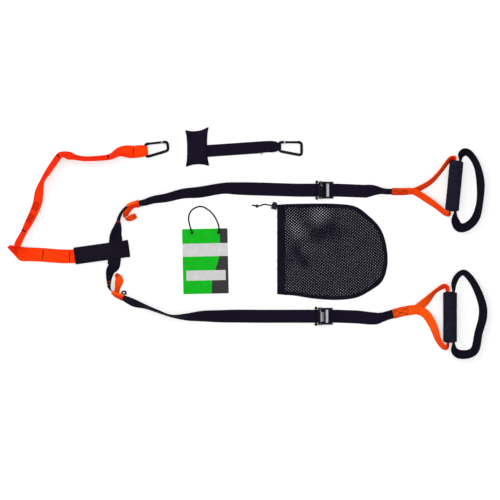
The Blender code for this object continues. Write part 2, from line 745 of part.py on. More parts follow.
def sleeve_point(along):
    """A point on the sleeve's long axis."""
    turn = Matrix.Rotation(SLEEVE_TURN, 3, "Z")
    return at_share(SLEEVE_PLACE_SHARE) + turn @ Vector((along, 0.0, 0.0))


def eye_row(share, turn, back, width_share):
    """A flat stop of the strap that leads to a carabiner's bar, some way back from the bar."""
    direction = Matrix.Rotation(turn, 3, "Z") @ Vector((1.0, 0.0, 0.0))
    return flat_row(at_share(share) - direction * back, 0.0, width_share)


def eye_rise(length):
    """How far the upper layer stands over the lower one, a length away from the carabiner's bar."""
    share = min(length / EYE_RUN, 1.0)
    return LAYER + (EYE_LIFT - LAYER) * (1.0 + math.cos(math.pi * share)) / 2


def extender_strap():
    """The long anchor strap: one webbing laid double, looped round the carabiner and the main strap."""
    rows = [
        eye_row(MAIN_CARABINER_SHARE, MAIN_CARABINER_TURN, 0.0, MAIN_EYE_SHARE),
        eye_row(MAIN_CARABINER_SHARE, MAIN_CARABINER_TURN, EYE_RUN / 3, MAIN_EYE_SHARE),
        eye_row(MAIN_CARABINER_SHARE, MAIN_CARABINER_TURN, EYE_RUN, 0.9),
    ]
    rows += share_rows(EXTENDER_SHARES)
    inside = SLEEVE_WALL + SEAT_GAP
    half = SLEEVE_LENGTH / 2
    for along in (-half - SLEEVE_WALL, -half / 2, 0.0, MAIN_CROSSING, SLEEVE_TURN_POINT):
        rows.append(flat_row(sleeve_point(along), inside))
    lower = route_frames(rows, EXTENDER_WEB_WIDTH)
    lengths = lengths_along(lower)
    opening_start = lengths[-1] - SLEEVE_LENGTH
    upper = []
    for frame, length in zip(lower, lengths):
        opened = min(max((length - opening_start) / half, 0.0), 1.0)
        upper.append(frame.moved(eye_rise(length) + LAYER * opened).turned_over())
    upper.reverse()
    eye = turn_frames(upper[-1], EYE_LIFT / 2, MAIN_PINCH_SHARE)
    hairpin = turn_frames(lower[-1], LAYER)
    webbing("extender_strap", upper + eye + lower + hairpin, ORANGE_WEBBING, closed=True)


def main_strap():
    """The strap that crosses the sleeve and carries both arms."""
    crossing = sleeve_point(MAIN_CROSSING)
    direction = Vector((math.cos(MAIN_STRAP_ANGLE), math.sin(MAIN_STRAP_ANGLE), 0.0))
    inside = SLEEVE_WALL + SEAT_GAP + LAYER
    skew = MAIN_STRAP_ANGLE - math.pi / 2 - SLEEVE_TURN
    reach = (SLEEVE_WIDTH + ARM_WEB_WIDTH * abs(math.sin(skew))) / 2 + 2 * SLEEVE_WALL
    rows = share_rows(MAIN_STRAP_SHARES)
    lead_in = ARM_WEB_WIDTH / 3
    for along in (-reach - lead_in, -reach, -reach / 3, reach / 3, reach, reach + lead_in):
        rows.append(flat_row(crossing + direction * along, inside))
    rows += share_rows(MAIN_STRAP_EXIT_SHARES)
    frames = route_frames(rows, ARM_WEB_WIDTH)
    webbing("main_strap", frames, BLACK_WEBBING)
    return frames[0].turned_over(), frames[-1]


def buckle_levels():
    """Heights of the webbing middles at the buckle, from the floor up."""
    first = WEB_THICKNESS / 2
    return {
        "floor": first,
        "second": first + LAYER,
        "third": first + 2 * LAYER,
        "over_bar": first + FIXED_BAR_THICKNESS + 2 * SEAT_GAP + WEB_THICKNESS,
        "under_cam": BASE_PLATE_THICKNESS + SEAT_GAP + first,
        "over_front": FRONT_BAR_HEIGHT + FRONT_BAR_RADIUS + SEAT_GAP + first,
    }


def upright_frames(origin, points):
    """Flat webbing across +Y that follows points given as (x from the origin, height)."""
    places = [Vector((origin.x + x, origin.y, height)) for x, height in points]
    return profile_frames(places, Vector((0.0, 1.0, 0.0)), ARM_WEB_WIDTH)


def arm_straps(side, seam, arm_shares, buckle_share, tab_start, pull_shares, pull_face):
    """The top strap, the adjusting strap's tail over it, and the orange tab that holds the tail."""
    origin = at_share(buckle_share)
    level = buckle_levels()
    half = BUCKLE_LENGTH / 2
    bar_end = FIXED_BAR_LENGTH + BUCKLE_PLATE / 2 - half
    over_bar = level["over_bar"] + LAYER
    sewn_end = bar_end - SEWN_BACK_LENGTH
    start = sewn_end - half / 2
    rows = share_rows(arm_shares) + [flat_row(Vector((origin.x + start, origin.y, 0.0)))]
    frames = [seam.onward(SEAT_GAP)] + route_frames(rows, ARM_WEB_WIDTH)[2:]
    low = upright_frames(origin, [(sewn_end, level["floor"]), (-half, level["floor"]), (bar_end, level["floor"])])
    turn = turn_frames(low[-1], (level["over_bar"] - level["floor"]) / 2)
    back = upright_frames(origin, [
        (sewn_end, level["second"]), (-half - FIXED_BAR_LENGTH * 2, level["second"] + SEAT_GAP),
        (-half + SEAT_GAP, level["over_bar"]), (bar_end, level["over_bar"]),
    ])
    back = [frame.turned_over() for frame in reversed(back)]
    webbing(side + "_top_strap", frames + low + turn + back, BLACK_WEBBING)

    lengths = lengths_along(frames)
    tail = [f.moved(LAYER) for f, length in zip(frames, lengths) if length > tab_start]
    front = half - FRONT_BAR_SETBACK
    tail += upright_frames(origin, [
        (sewn_end - SLEEVE_WALL, level["third"] + SEAT_GAP), (-half - FIXED_BAR_LENGTH * 2, level["third"] + 3 * SEAT_GAP),
        (-half + SEAT_GAP, over_bar + SEAT_GAP), (bar_end, over_bar), (-PIN_SETBACK - CAM_DRUM_RADIUS, over_bar - SEAT_GAP),
        (-PIN_SETBACK, (over_bar + level["under_cam"]) / 2 + SEAT_GAP), (-PIN_SETBACK / 2, level["under_cam"]),
        (BRIDGE_START, level["under_cam"]), (BRIDGE_START + BRIDGE_LENGTH / 2, level["under_cam"] + SEAT_GAP),
        (front - 2 * FRONT_BAR_RADIUS, level["over_front"] - SEAT_GAP), (front, level["over_front"]),
    ])
    webbing(side + "_adjust_strap_tail", tail, BLACK_WEBBING)

    held = stretch(frames, tab_start - TAB_WEB_WIDTH / 3, tab_start + TAB_WEB_WIDTH)
    low_face = -WEB_THICKNESS / 2 - SEAT_GAP
    high_face = LAYER + WEB_THICKNESS / 2 + SEAT_GAP
    depth = high_face - low_face
    shell = [f.moved((low_face + high_face) / 2).widened(2 * (SEAT_GAP + WEB_THICKNESS)) for f in held]
    tab = webbing(side + "_adjuster_tab", shell, ORANGE_WEBBING, thickness=depth + 2 * WEB_THICKNESS)
    middle = held[len(held) // 3]
    reach = high_face if pull_face > 0 else low_face
    root = middle.middle + middle.out * (reach + pull_face * WEB_THICKNESS / 2)
    pull_rows = [[root.x, root.y, pull_shares[0][2], 0.0, pull_shares[0][4]]] + share_rows(pull_shares)
    pull = webbing(side + "_pull_tab", route_frames(pull_rows, TAB_WEB_WIDTH), ORANGE_WEBBING)
    cut(tab, pull, "UNION")
    wider = stretch(frames, tab_start - TAB_WEB_WIDTH * 0.6, tab_start + TAB_WEB_WIDTH * 1.3)
    inside = [f.moved((low_face + high_face) / 2).widened(2 * SEAT_GAP) for f in wider]
    core = webbing(side + "_tab_core", inside, ORANGE_WEBBING, thickness=depth)
    cut(tab, core)


def lead_strap(side, buckle_share, lead_shares, grip_share):
    """The adjusting strap from the buckle's front bar to the handle's yoke."""
    origin = at_share(buckle_share)
    level = buckle_levels()
    front = BUCKLE_LENGTH / 2 - FRONT_BAR_SETBACK
    heights = [
        (front + SEAT_GAP, level["over_front"]), (front + FRONT_BAR_SETBACK / 3, level["over_front"]),
        (front + FRONT_BAR_SETBACK, level["under_cam"] * 1.6),
        (front + 2 * FRONT_BAR_SETBACK, level["under_cam"]), (front + 4 * FRONT_BAR_SETBACK, level["floor"]),
    ]
    frames = upright_frames(origin, heights)
    rows = share_rows(lead_shares)
    seam = fitted_to_grip(rows[-3:], grip_share)
    frames += route_frames(drawn_out(rows, seam[0]) + seam, ARM_WEB_WIDTH)
    webbing(side + "_adjust_strap_lead", frames, BLACK_WEBBING)


def cam_buckle(side, buckle_share):
    """Frame, spring lever with its toothed cam, pin and spring of one cam buckle."""
    place = place_empty(side + "_buckle_place", at_share(buckle_share))
    half = BUCKLE_LENGTH / 2
    inner = ARM_WEB_WIDTH / 2 + BUCKLE_SIDE_GAP
    middle = inner + BUCKLE_PLATE / 2
    pin = (-PIN_SETBACK, PIN_HEIGHT)
    front = half - FRONT_BAR_SETBACK
    edge = FIXED_BAR_THICKNESS / 2
    outline = [(edge - half, 0.0), (half - edge, 0.0), (half, edge), (half, PIN_HEIGHT * 0.38)]
    outline += [(half - edge * 2, PIN_HEIGHT * 0.56), (BRIDGE_START, PIN_HEIGHT * 0.80)]
    outline += arc(pin, PIN_BOSS_RADIUS, 10.0, 165.0, 8)
    outline += [(-half + FIXED_BAR_LENGTH, PIN_HEIGHT * 0.76), (-half, PIN_HEIGHT * 0.60), (-half, edge)]
    bore = circle(pin, PIN_RADIUS + PIN_FIT, 16)
    plates = []
    for name, y in ((side + "_buckle_frame", -middle), (side + "_far_plate", middle)):
        plate = flat_plate(name, [outline, bore], BUCKLE_PLATE, BLACK_METAL, place, upright=True)
        plate.location = (0.0, y, 0.0)
        plates.append(plate)
    frame = plates[0]
    cut(frame, plates[1], "UNION")
    bar_end = FIXED_BAR_LENGTH + BUCKLE_PLATE / 2 - half
    plate_start = bar_end + level_turn() + WEB_THICKNESS
    crossers = (
        box(side + "_fixed_bar", (bar_end - FIXED_BAR_LENGTH, -middle, LAYER),
            (bar_end, middle, LAYER + FIXED_BAR_THICKNESS), BLACK_METAL, place),
        box(side + "_base_plate", (plate_start, -middle, 0.0), (front, middle, BASE_PLATE_THICKNESS),
            BLACK_METAL, place),
        box(side + "_bridge", (BRIDGE_START, -middle, BRIDGE_HEIGHT),
            (BRIDGE_START + BRIDGE_LENGTH, middle, BRIDGE_HEIGHT + BRIDGE_THICKNESS), STEEL, place),
        tube(side + "_front_bar", [(front, -middle, FRONT_BAR_HEIGHT), (front, middle, FRONT_BAR_HEIGHT)],
             FRONT_BAR_RADIUS, BLACK_METAL, place, fineness=3),
    )
    for crosser in crossers:
        cut(frame, crosser, "UNION")
    for y in (-middle, middle):
        ear = turned(side + "_ear", [(0.0, EAR_HEIGHT), (EAR_RADIUS, EAR_HEIGHT), (EAR_RADIUS, 0.0), (0.0, 0.0)],
                     BLACK_METAL, place, steps=16, open_ends=False)
        ear.location = (EAR_RADIUS - half, y + math.copysign(BUCKLE_PLATE / 4, y), BASE_PLATE_THICKNESS)
        cut(frame, ear, "UNION")
    pivot = place_empty(side + "_cam_pivot", (pin[0], 0.0, pin[1]), parent=place)
    cam_lever(side, pivot, inner)
    reach = inner + BUCKLE_PLATE + SEAT_GAP
    profile = [
        (0.0, reach + PIN_HEAD_LENGTH), (PIN_HEAD_RADIUS, reach + PIN_HEAD_LENGTH), (PIN_HEAD_RADIUS, reach),
        (PIN_RADIUS, reach), (PIN_RADIUS, -reach), (PIN_HEAD_RADIUS, -reach),
        (PIN_HEAD_RADIUS, -reach - PIN_HEAD_LENGTH), (0.0, -reach - PIN_HEAD_LENGTH),
    ]
    axle = turned(side + "_cam_pin", profile, STEEL, pivot, steps=16, open_ends=False)
    axle.rotation_euler = (math.radians(90.0), 0.0, 0.0)
    cam_spring(side, pivot, inner)


def level_turn():
    """Radius at which the top strap turns round the fixed bar, measured at the webbing's middle."""
    return FIXED_BAR_THICKNESS / 2 + SEAT_GAP + WEB_THICKNESS / 2


def cam_lever(side, pivot, inner):
    """The lever: a window plate on two cheeks, fused to the toothed cam that bites the webbing."""
    outer = inner - LEVER_SIDE_GAP
    cheek_inside = outer - LEVER_CHEEK
    top = LEVER_HEIGHT + LEVER_PLATE
    bore = circle((0.0, 0.0), PIN_RADIUS + PIN_FIT, 16)
    window_start = -LEVER_REAR + 1.7 * LEVER_RIM
    plate = flat_plate(
        side + "_cam_lever",
        [
            [(-LEVER_REAR, -outer), (LEVER_FRONT, -outer), (LEVER_FRONT, outer), (-LEVER_REAR, outer)],
            [(window_start, -cheek_inside), (LEVER_FRONT - LEVER_RIM, -cheek_inside),
             (LEVER_FRONT - LEVER_RIM, cheek_inside), (window_start, cheek_inside)],
        ],
        LEVER_PLATE, BLACK_METAL, pivot,
    )
    plate.location = (0.0, 0.0, LEVER_HEIGHT + LEVER_PLATE / 2)
    cheek = [(LEVER_FRONT - LEVER_RIM, top - LEVER_PLATE / 2), (-LEVER_REAR + LEVER_RIM / 3, top - LEVER_PLATE / 2)]
    cheek += arc((0.0, 0.0), CAM_DRUM_RADIUS, 170.0, 340.0, 8)
    for y in (-1, 1):
        side_plate = flat_plate(side + "_cheek", [cheek, bore], LEVER_CHEEK, BLACK_METAL, pivot, upright=True)
        side_plate.location = (0.0, y * (outer - LEVER_CHEEK / 2), 0.0)
        cut(plate, side_plate, "UNION")
    drop = PIN_HEIGHT - BASE_PLATE_THICKNESS - 2 * SEAT_GAP - WEB_THICKNESS
    cam = arc((0.0, 0.0), CAM_DRUM_RADIUS, 150.0, 280.0, 8)
    pitch = CAM_TOOTH * 1.5
    teeth = 3
    for k in range(teeth):
        root = CAM_REACH - (teeth - k) * pitch
        cam += [(root, CAM_TOOTH - drop), (root + pitch * 0.8, -drop)]
    cam += [(CAM_REACH + CAM_TOOTH, -CAM_DRUM_RADIUS), (CAM_REACH - 2 * CAM_TOOTH, 0.0)]
    cam += [(CAM_DRUM_RADIUS, LEVER_HEIGHT - CAM_TOOTH), (window_start + CAM_TOOTH, LEVER_HEIGHT)]
    cam += [(window_start - CAM_TOOTH / 2, LEVER_HEIGHT + LEVER_PLATE / 2), (-LEVER_REAR + CAM_TOOTH, LEVER_HEIGHT)]
    left = -cheek_inside - LEVER_CHEEK / 2
    right = cheek_inside - CAM_END_GAP
    drum = flat_plate(side + "_cam", [cam, bore], right - left, STEEL, pivot, upright=True)
    drum.location = (0.0, (left + right) / 2, 0.0)
    cut(plate, drum, "UNION")


def cam_spring(side, pivot, inner):
    """The torsion spring round the pin, beside the cam, with one leg forward and one leg back."""
    radius = PIN_RADIUS + PIN_FIT + SPRING_WIRE * 0.75
    pitch = SPRING_WIRE * 1.27
    start = inner - LEVER_SIDE_GAP - LEVER_CHEEK - SPRING_WIRE - SPRING_TURNS * pitch
    steps = 10
    points = [Vector((SPRING_SEAT, start, radius))]
    for i in range(SPRING_TURNS * steps + steps // 2 + 1):
        angle = math.radians(90.0) + math.radians(360.0) * i / steps
        points.append(Vector((radius * math.cos(angle), start + pitch * i / steps * 0.857, radius * math.sin(angle))))
    points.append(points[-1] + Vector((SPRING_SEAT * 0.8, 0.0, 0.0)))
    tube(side + "_cam_spring", points, SPRING_WIRE / 2, STEEL, pivot, fineness=1)


def rounded_path(corners, reach, steps=5):
    """Points along straight runs whose inner corners are rounded over a reach."""
    points = [Vector((*corners[0], 0.0))]
    for before, corner, after in zip(corners, corners[1:], corners[2:]):
        corner = Vector((*corner, 0.0))
        start = corner + (Vector((*before, 0.0)) - corner).normalized() * reach
        end = corner + (Vector((*after, 0.0)) - corner).normalized() * reach
        for i in range(steps + 1):
            t = i / steps
            points.append(start * (1 - t) ** 2 + corner * 2 * t * (1 - t) + end * t * t)
    points.append(Vector((*corners[-1], 0.0)))
    return points


def carabiner(side, share, turn, narrow_in_loop):
    """One pear-shaped carabiner: the bent bar, its fork-ended gate and the gate's rivet."""
    place = place_empty(side + "_carabiner_place", at_share(share, (WEB_THICKNESS + EYE_LIFT) / 2), turn)
    half = CARABINER_LENGTH * CARABINER_WIDE_SHARE / 2
    narrow = CARABINER_LENGTH * CARABINER_NARROW_SHARE
    offset = half - narrow / 2 if narrow_in_loop else 0.0

    def local(x, y):
        return (CARABINER_LENGTH - x if narrow_in_loop else x, y - offset)

    pivot = CARABINER_LENGTH * GATE_PIVOT_SHARE
    nose = CARABINER_LENGTH * GATE_NOSE_SHARE
    shoulder = pivot + GATE_RADIUS + GATE_GAP
    corners = [(shoulder, half), (CARABINER_LENGTH, half), (CARABINER_LENGTH, half - narrow),
               (0.0, -half), (0.0, half), (nose - GATE_GAP, half)]
    path = rounded_path([local(*corner) for corner in corners], CARABINER_CORNER)
    body = tube(side + "_carabiner_body", path, CARABINER_BAR / 2, BLACK_METAL, place, fineness=3)
    ends = [local(pivot - TONGUE_REACH, half), local(shoulder + TONGUE_WIDTH, half)]
    low = min(ends[0][0], ends[1][0])
    high = max(ends[0][0], ends[1][0])
    tongue = box(side + "_tongue", (low, ends[0][1] - TONGUE_WIDTH / 2, -TONGUE_THICKNESS / 2),
                 (high, ends[0][1] + TONGUE_WIDTH / 2, TONGUE_THICKNESS / 2), BLACK_METAL, place)
    cut(body, tongue, "UNION")
    bore_height = CARABINER_BAR / 2
    centre = Vector((*local(pivot, half), 0.0))
    bore_profile = [(0.0, bore_height), (GATE_RIVET_RADIUS + PIN_FIT, bore_height),
                    (GATE_RIVET_RADIUS + PIN_FIT, -bore_height), (0.0, -bore_height)]
    bore = turned(side + "_frame_bore", bore_profile, STEEL, place, 16, False)
    bore.location = centre
    cut(body, bore)

    hinge = place_empty(side + "_gate_hinge", centre, parent=place)
    toward = -1.0 if not narrow_in_loop else 1.0
    nose_at = Vector((toward * (pivot - nose), 0.0, 0.0))
    gate = tube(side + "_carabiner_gate", [Vector((0.0, 0.0, 0.0)), nose_at], GATE_RADIUS, BLACK_METAL, hinge)
    boss_height = GATE_BOSS_HEIGHT / 2
    boss = turned(side + "_gate_boss", [(0.0, boss_height), (GATE_BOSS_RADIUS, boss_height),
                  (GATE_BOSS_RADIUS, -boss_height), (0.0, -boss_height)], BLACK_METAL, hinge, 16, False)
    cut(gate, boss, "UNION")
    fork_half = TONGUE_THICKNESS / 2 + SEAT_GAP
    reach = sorted((toward * GATE_FORK_LENGTH, -toward * 2 * GATE_RADIUS))
    fork = box(side + "_fork_slot", (reach[0], -2 * GATE_RADIUS, -fork_half),
               (reach[1], 2 * GATE_RADIUS, fork_half), BLACK_METAL, hinge)
    cut(gate, fork)
    gate_bore = turned(side + "_gate_bore", bore_profile, STEEL, hinge, 16, False)
    cut(gate, gate_bore)
    head = boss_height + SEAT_GAP
    profile = [
        (0.0, head + RIVET_HEAD_LENGTH), (RIVET_HEAD_RADIUS, head + RIVET_HEAD_LENGTH),
        (RIVET_HEAD_RADIUS, head), (GATE_RIVET_RADIUS, head), (GATE_RIVET_RADIUS, -head),
        (RIVET_HEAD_RADIUS, -head), (RIVET_HEAD_RADIUS, -head - RIVET_HEAD_LENGTH),
        (0.0, -head - RIVET_HEAD_LENGTH),
    ]
    turned(side + "_gate_rivet", profile, STEEL, hinge, 16, False)


def bore_rows(centre, axis, inset, width, share, offset):
    """Stops of a ribbon that stands on edge and runs through the grip's tube, low end first."""
    reach = GRIP_LENGTH / 2 + TUBE_PROUD + BORE_REACH
    normal = Vector((axis.y, -axis.x, 0.0))
    rows = []
    stops = 6
    for i in range(stops + 1):
        point = centre + axis * reach * (2 * i / stops - 1) - normal * offset
        rows.append([point.x, point.y, 90.0, inset - width * share / 2, share])
    return rows


def handle(side, grip_share, lean, yoke_out, yoke_back, cradle_shares):
    """One handle: foam grip on its tube, the yoke webbing to the strap and the foot cradle."""
    centre = at_share(grip_share, GRIP_RADIUS)
    axis = Matrix.Rotation(lean, 3, "Z") @ Vector((0.0, 1.0, 0.0))
    grip = place_empty(side + "_grip_axis", centre, lean)
    outer = GRIP_RADIUS - FOAM_WALL - SEAT_GAP
    inner = outer - TUBE_WALL
    tube_half = GRIP_LENGTH / 2 + TUBE_PROUD
    foam_half = GRIP_LENGTH / 2
    bore = GRIP_RADIUS - FOAM_WALL
    pipe = turned(side + "_handle_tube", [(outer, tube_half), (outer, -tube_half), (inner, -tube_half),
                  (inner, tube_half)], PLASTIC, grip)
    foam = turned(side + "_foam_grip", [
        (bore, foam_half), (GRIP_RADIUS - FOAM_ROUND, foam_half), (GRIP_RADIUS, foam_half - FOAM_ROUND),
        (GRIP_RADIUS, FOAM_ROUND - foam_half), (GRIP_RADIUS - FOAM_ROUND, -foam_half), (bore, -foam_half),
    ], FOAM, grip)
    for piece in (pipe, foam):
        piece.rotation_euler = (math.radians(-90.0), 0.0, 0.0)
    rows = fitted_to_grip(share_rows(yoke_out), grip_share)
    rows += bore_rows(centre, axis, GRIP_RADIUS, YOKE_WEB_WIDTH, BORE_YOKE_SHARE, YOKE_BORE_OFFSET - LAYER)
    rows += fitted_to_grip(share_rows(yoke_back), grip_share)
    frames = [frame.moved(-LAYER) for frame in route_frames(rows, YOKE_WEB_WIDTH)]
    webbing(side + "_yoke", frames, ORANGE_WEBBING)
    rows = bore_rows(centre, axis, GRIP_RADIUS, CRADLE_WEB_WIDTH, BORE_CRADLE_SHARE, CRADLE_BORE_OFFSET)
    rows += fitted_to_grip(share_rows(cradle_shares), grip_share)
    frames = route_frames(rows, CRADLE_WEB_WIDTH, closed=True)
    webbing(side + "_foot_cradle", frames, BLACK_WEBBING, closed=True)


def door_anchor():
    """The pillow that stays behind the door and the doubled strap to its carabiner."""
    centre = at_share(PILLOW_PLACE_SHARE)
    corners = [Vector((x, y, 0.0)) * LAYOUT_SPAN for x, y in PILLOW_CORNER_SHARES]
    bm = bmesh.new()
    steps = PILLOW_STEPS
    sheets = []
    for face in (1, -1):
        grid = {}
        for i in range(steps + 1):
            for j in range(steps + 1):
                u = 2 * i / steps - 1
                v = 2 * j / steps - 1
                low = corners[0].lerp(corners[1], i / steps)
                high = corners[3].lerp(corners[2], i / steps)
                point = low.lerp(high, j / steps)
                point.x *= 1 - PILLOW_WAIST_SHARE * (1 - v * v) * abs(u)
                point.y *= 1 - PILLOW_WAIST_SHARE * (1 - u * u) * abs(v)
                swell = math.sqrt(max((1 - u ** 4) * (1 - v ** 4), 0.0))
                if face > 0:
                    height = PILLOW_SEAM_HEIGHT + (PILLOW_HEIGHT - PILLOW_SEAM_HEIGHT) * swell
                else:
                    height = max((PILLOW_SEAM_HEIGHT + PILLOW_REST_DEPTH) * (1 - swell), PILLOW_REST_DEPTH)
                    height -= PILLOW_REST_DEPTH
                rim = i in (0, steps) or j in (0, steps)
                if face < 0 and rim:
                    grid[i, j] = sheets[0][i, j]
                else:
                    grid[i, j] = bm.verts.new(centre + point + UP * height)
        for i in range(steps):
            for j in range(steps):
                bm.faces.new((grid[i, j], grid[i + 1, j], grid[i + 1, j + 1], grid[i, j + 1]))
        sheets.append(grid)
    bmesh.ops.triangulate(bm, faces=bm.faces)
    pillow = mesh_object("door_anchor_pillow", bm, BLACK_WEBBING, smooth=True)

    rows = [
        eye_row(DOOR_CARABINER_SHARE, DOOR_CARABINER_TURN, 0.0, DOOR_EYE_SHARE),
        eye_row(DOOR_CARABINER_SHARE, DOOR_CARABINER_TURN, EYE_RUN / 3, DOOR_EYE_SHARE),
        eye_row(DOOR_CARABINER_SHARE, DOOR_CARABINER_TURN, EYE_RUN, 0.96),
    ]
    rows += share_rows(reversed(DOOR_STRAP_SHARES))
    lower = route_frames(rows, DOOR_WEB_WIDTH)
    upper = [f.moved(eye_rise(length)).turned_over() for f, length in zip(lower, lengths_along(lower))]
    upper.reverse()
    eye = turn_frames(upper[-1], EYE_LIFT / 2, DOOR_PINCH_SHARE)
    webbing("door_anchor_strap", upper + eye + lower, BLACK_WEBBING)
    held = lower[-PILLOW_POCKET_STOPS:] + [lower[-1].onward(SEAT_GAP)]
    inside = [f.moved(LAYER / 2).widened(2 * SEAT_GAP) for f in held]
    pocket = webbing("pillow_pocket", inside, BLACK_WEBBING, thickness=LAYER + WEB_THICKNESS + 2 * SEAT_GAP)
    cut(pillow, pocket)


def inset(points, distance):
    """Points of an open route moved to the right of its direction."""
    moved = []
    for i, point in enumerate(points):
        along = (points[min(i + 1, len(points) - 1)] - points[max(i - 1, 0)]).normalized()
        moved.append(point + Vector((along.y, -along.x, 0.0)) * distance)
    return moved


def carry_bag():
    """The mesh bag, laid flat: two panels, bound edge, drawcord hem, cord and cord lock."""
    stops = [[x * LAYOUT_SPAN, y * LAYOUT_SPAN] for x, y in BAG_OUTLINE_SHARES[1:-1] + (BAG_BINDING_END_SHARE,)]
    edge = [Vector((x, y, 0.0)) for x, y in smooth_rows(stops, ROUTE_STEPS)]
    radius = BAG_BINDING / 2
    tube("bag_binding", [point + UP * radius for point in edge], radius, BLACK_WEBBING)
    left = BAG_HEM_SHARES[0] * LAYOUT_SPAN
    hem_right = left + BAG_HEM_WIDTH
    inner = inset(edge, radius + SEAT_GAP)
    outline = [(hem_right + SEAT_GAP, inner[0].y)]
    outline += [(point.x, point.y) for point in inner if point.x > hem_right + 2 * SEAT_GAP]
    outline += [(hem_right + SEAT_GAP, inner[-1].y)]
    for index, name in enumerate(("bag_back_panel", "bag_front_panel")):
        panel = flat_plate(name, [outline], BAG_PANEL_THICKNESS, MESH_CLOTH)
        panel.location = (0.0, 0.0, BAG_PANEL_THICKNESS / 2 + index * (BAG_PANEL_THICKNESS + SEAT_GAP))
    hem = box("bag_hem", (left, BAG_HEM_SHARES[1] * LAYOUT_SPAN, 0.0),
              (hem_right, BAG_HEM_SHARES[2] * LAYOUT_SPAN, BAG_HEM_THICKNESS), MESH_CLOTH)
    cord_x = DRAWCORD_SHARES[0][0] * LAYOUT_SPAN
    height = DRAWCORD_SHARES[0][2] * DRAWCORD_DIAMETER
    channel = tube("hem_channel", [Vector((cord_x, share * LAYOUT_SPAN, height)) for share in (-0.1, 0.1)],
                   DRAWCORD_DIAMETER / 2 + SEAT_GAP, MESH_CLOTH)
    cut(hem, channel)
    drawcord()
    cord_lock()


def cord_points(shares, diameter):
    """A smooth route of cord from shares and heights in cord diameters."""
    rows = [[x * LAYOUT_SPAN, y * LAYOUT_SPAN, height * diameter] for x, y, height in shares]
    return [Vector(row) for row in smooth_rows(rows, ROUTE_STEPS)]


def tied(points, shifts):
    """Cord points whose two ends move by the shifts, less and less towards the middle."""
    middle = (len(points) - 1) / 2
    moved = []
    for i, point in enumerate(points):
        shift = shifts[0] if i < middle else shifts[1]
        moved.append(point + shift * abs(i - middle) / middle)
    return moved


def knot(name, place, radius, finish):
    """A ball knot."""
    bm = bmesh.new()
    bmesh.ops.create_icosphere(bm, subdivisions=2, radius=radius)
    bmesh.ops.translate(bm, vec=place, verts=bm.verts)
    return mesh_object(name, bm, finish)


def drawcord():
    """The cord from the hem through the lock to its end knot."""
    points = cord_points(DRAWCORD_SHARES, DRAWCORD_DIAMETER)
    cord = tube("drawcord", points, DRAWCORD_DIAMETER / 2, BLACK_WEBBING)
    size = DRAWCORD_DIAMETER / 2 * KNOT_SHARE
    cut(cord, knot("drawcord_knot", Vector((points[-1].x, points[-1].y, size)), size, BLACK_WEBBING), "UNION")


def cord_lock():
    """The barrel, its sprung button and the spring between them."""
    height = DRAWCORD_SHARES[8][2] * DRAWCORD_DIAMETER
    turn = Matrix.Rotation(LOCK_TURN, 3, "Z")
    start = at_share(LOCK_PLACE_SHARE, height) - turn @ Vector((0.0, LOCK_CORD_PLACE, 0.0))
    place = place_empty("cord_lock_place", start, LOCK_TURN)
    bore = LOCK_RADIUS - LOCK_WALL
    barrel = turned("cord_lock_barrel", [
        (0.0, LOCK_WALL), (bore, LOCK_WALL), (bore, LOCK_BARREL_LENGTH), (LOCK_RADIUS, LOCK_BARREL_LENGTH),
        (LOCK_RADIUS, 0.0), (0.0, 0.0),
    ], PLASTIC, place, steps=20, open_ends=False)
    hole = tube("lock_hole", [Vector((side * 2 * LOCK_RADIUS, LOCK_CORD_PLACE, 0.0)) for side in (-1, 1)],
                DRAWCORD_DIAMETER / 2 + SEAT_GAP, PLASTIC, place, fineness=3)
    plunger = bore - LOCK_FIT
    foot = LOCK_CORD_PLACE - LOCK_SLOT_HALF - LOCK_FOOT
    button = turned("cord_lock_button", [
        (0.0, LOCK_LENGTH), (plunger - LOCK_FOOT, LOCK_LENGTH), (plunger, LOCK_LENGTH - LOCK_FOOT),
        (plunger, foot), (0.0, foot),
    ], PLASTIC, place, steps=20, open_ends=False)
    for piece in (barrel, button):
        piece.rotation_euler = (math.radians(-90.0), 0.0, 0.0)
    cut(barrel, hole)
    slot = box("button_slot", (-2 * LOCK_RADIUS, LOCK_CORD_PLACE - LOCK_SLOT_HALF, -LOCK_SLOT_HALF - SEAT_GAP),
               (2 * LOCK_RADIUS, LOCK_CORD_PLACE + LOCK_SLOT_HALF + LOCK_BUTTON_TRAVEL, LOCK_SLOT_HALF + SEAT_GAP),
               PLASTIC, place)
    cut(button, slot)
    low = LOCK_WALL + LOCK_SPRING_WIRE
    rise = foot - LOCK_SPRING_WIRE - low
    steps = 12
    coil = []
    for i in range(LOCK_SPRING_TURNS * steps + 1):
        angle = math.radians(360.0) * i / steps
        along = low + rise * i / (LOCK_SPRING_TURNS * steps)
        coil.append(Vector((LOCK_SPRING_RADIUS * math.cos(angle), along, LOCK_SPRING_RADIUS * math.sin(angle))))
    tube("cord_lock_spring", coil, LOCK_SPRING_WIRE / 2, STEEL, place, fineness=1)


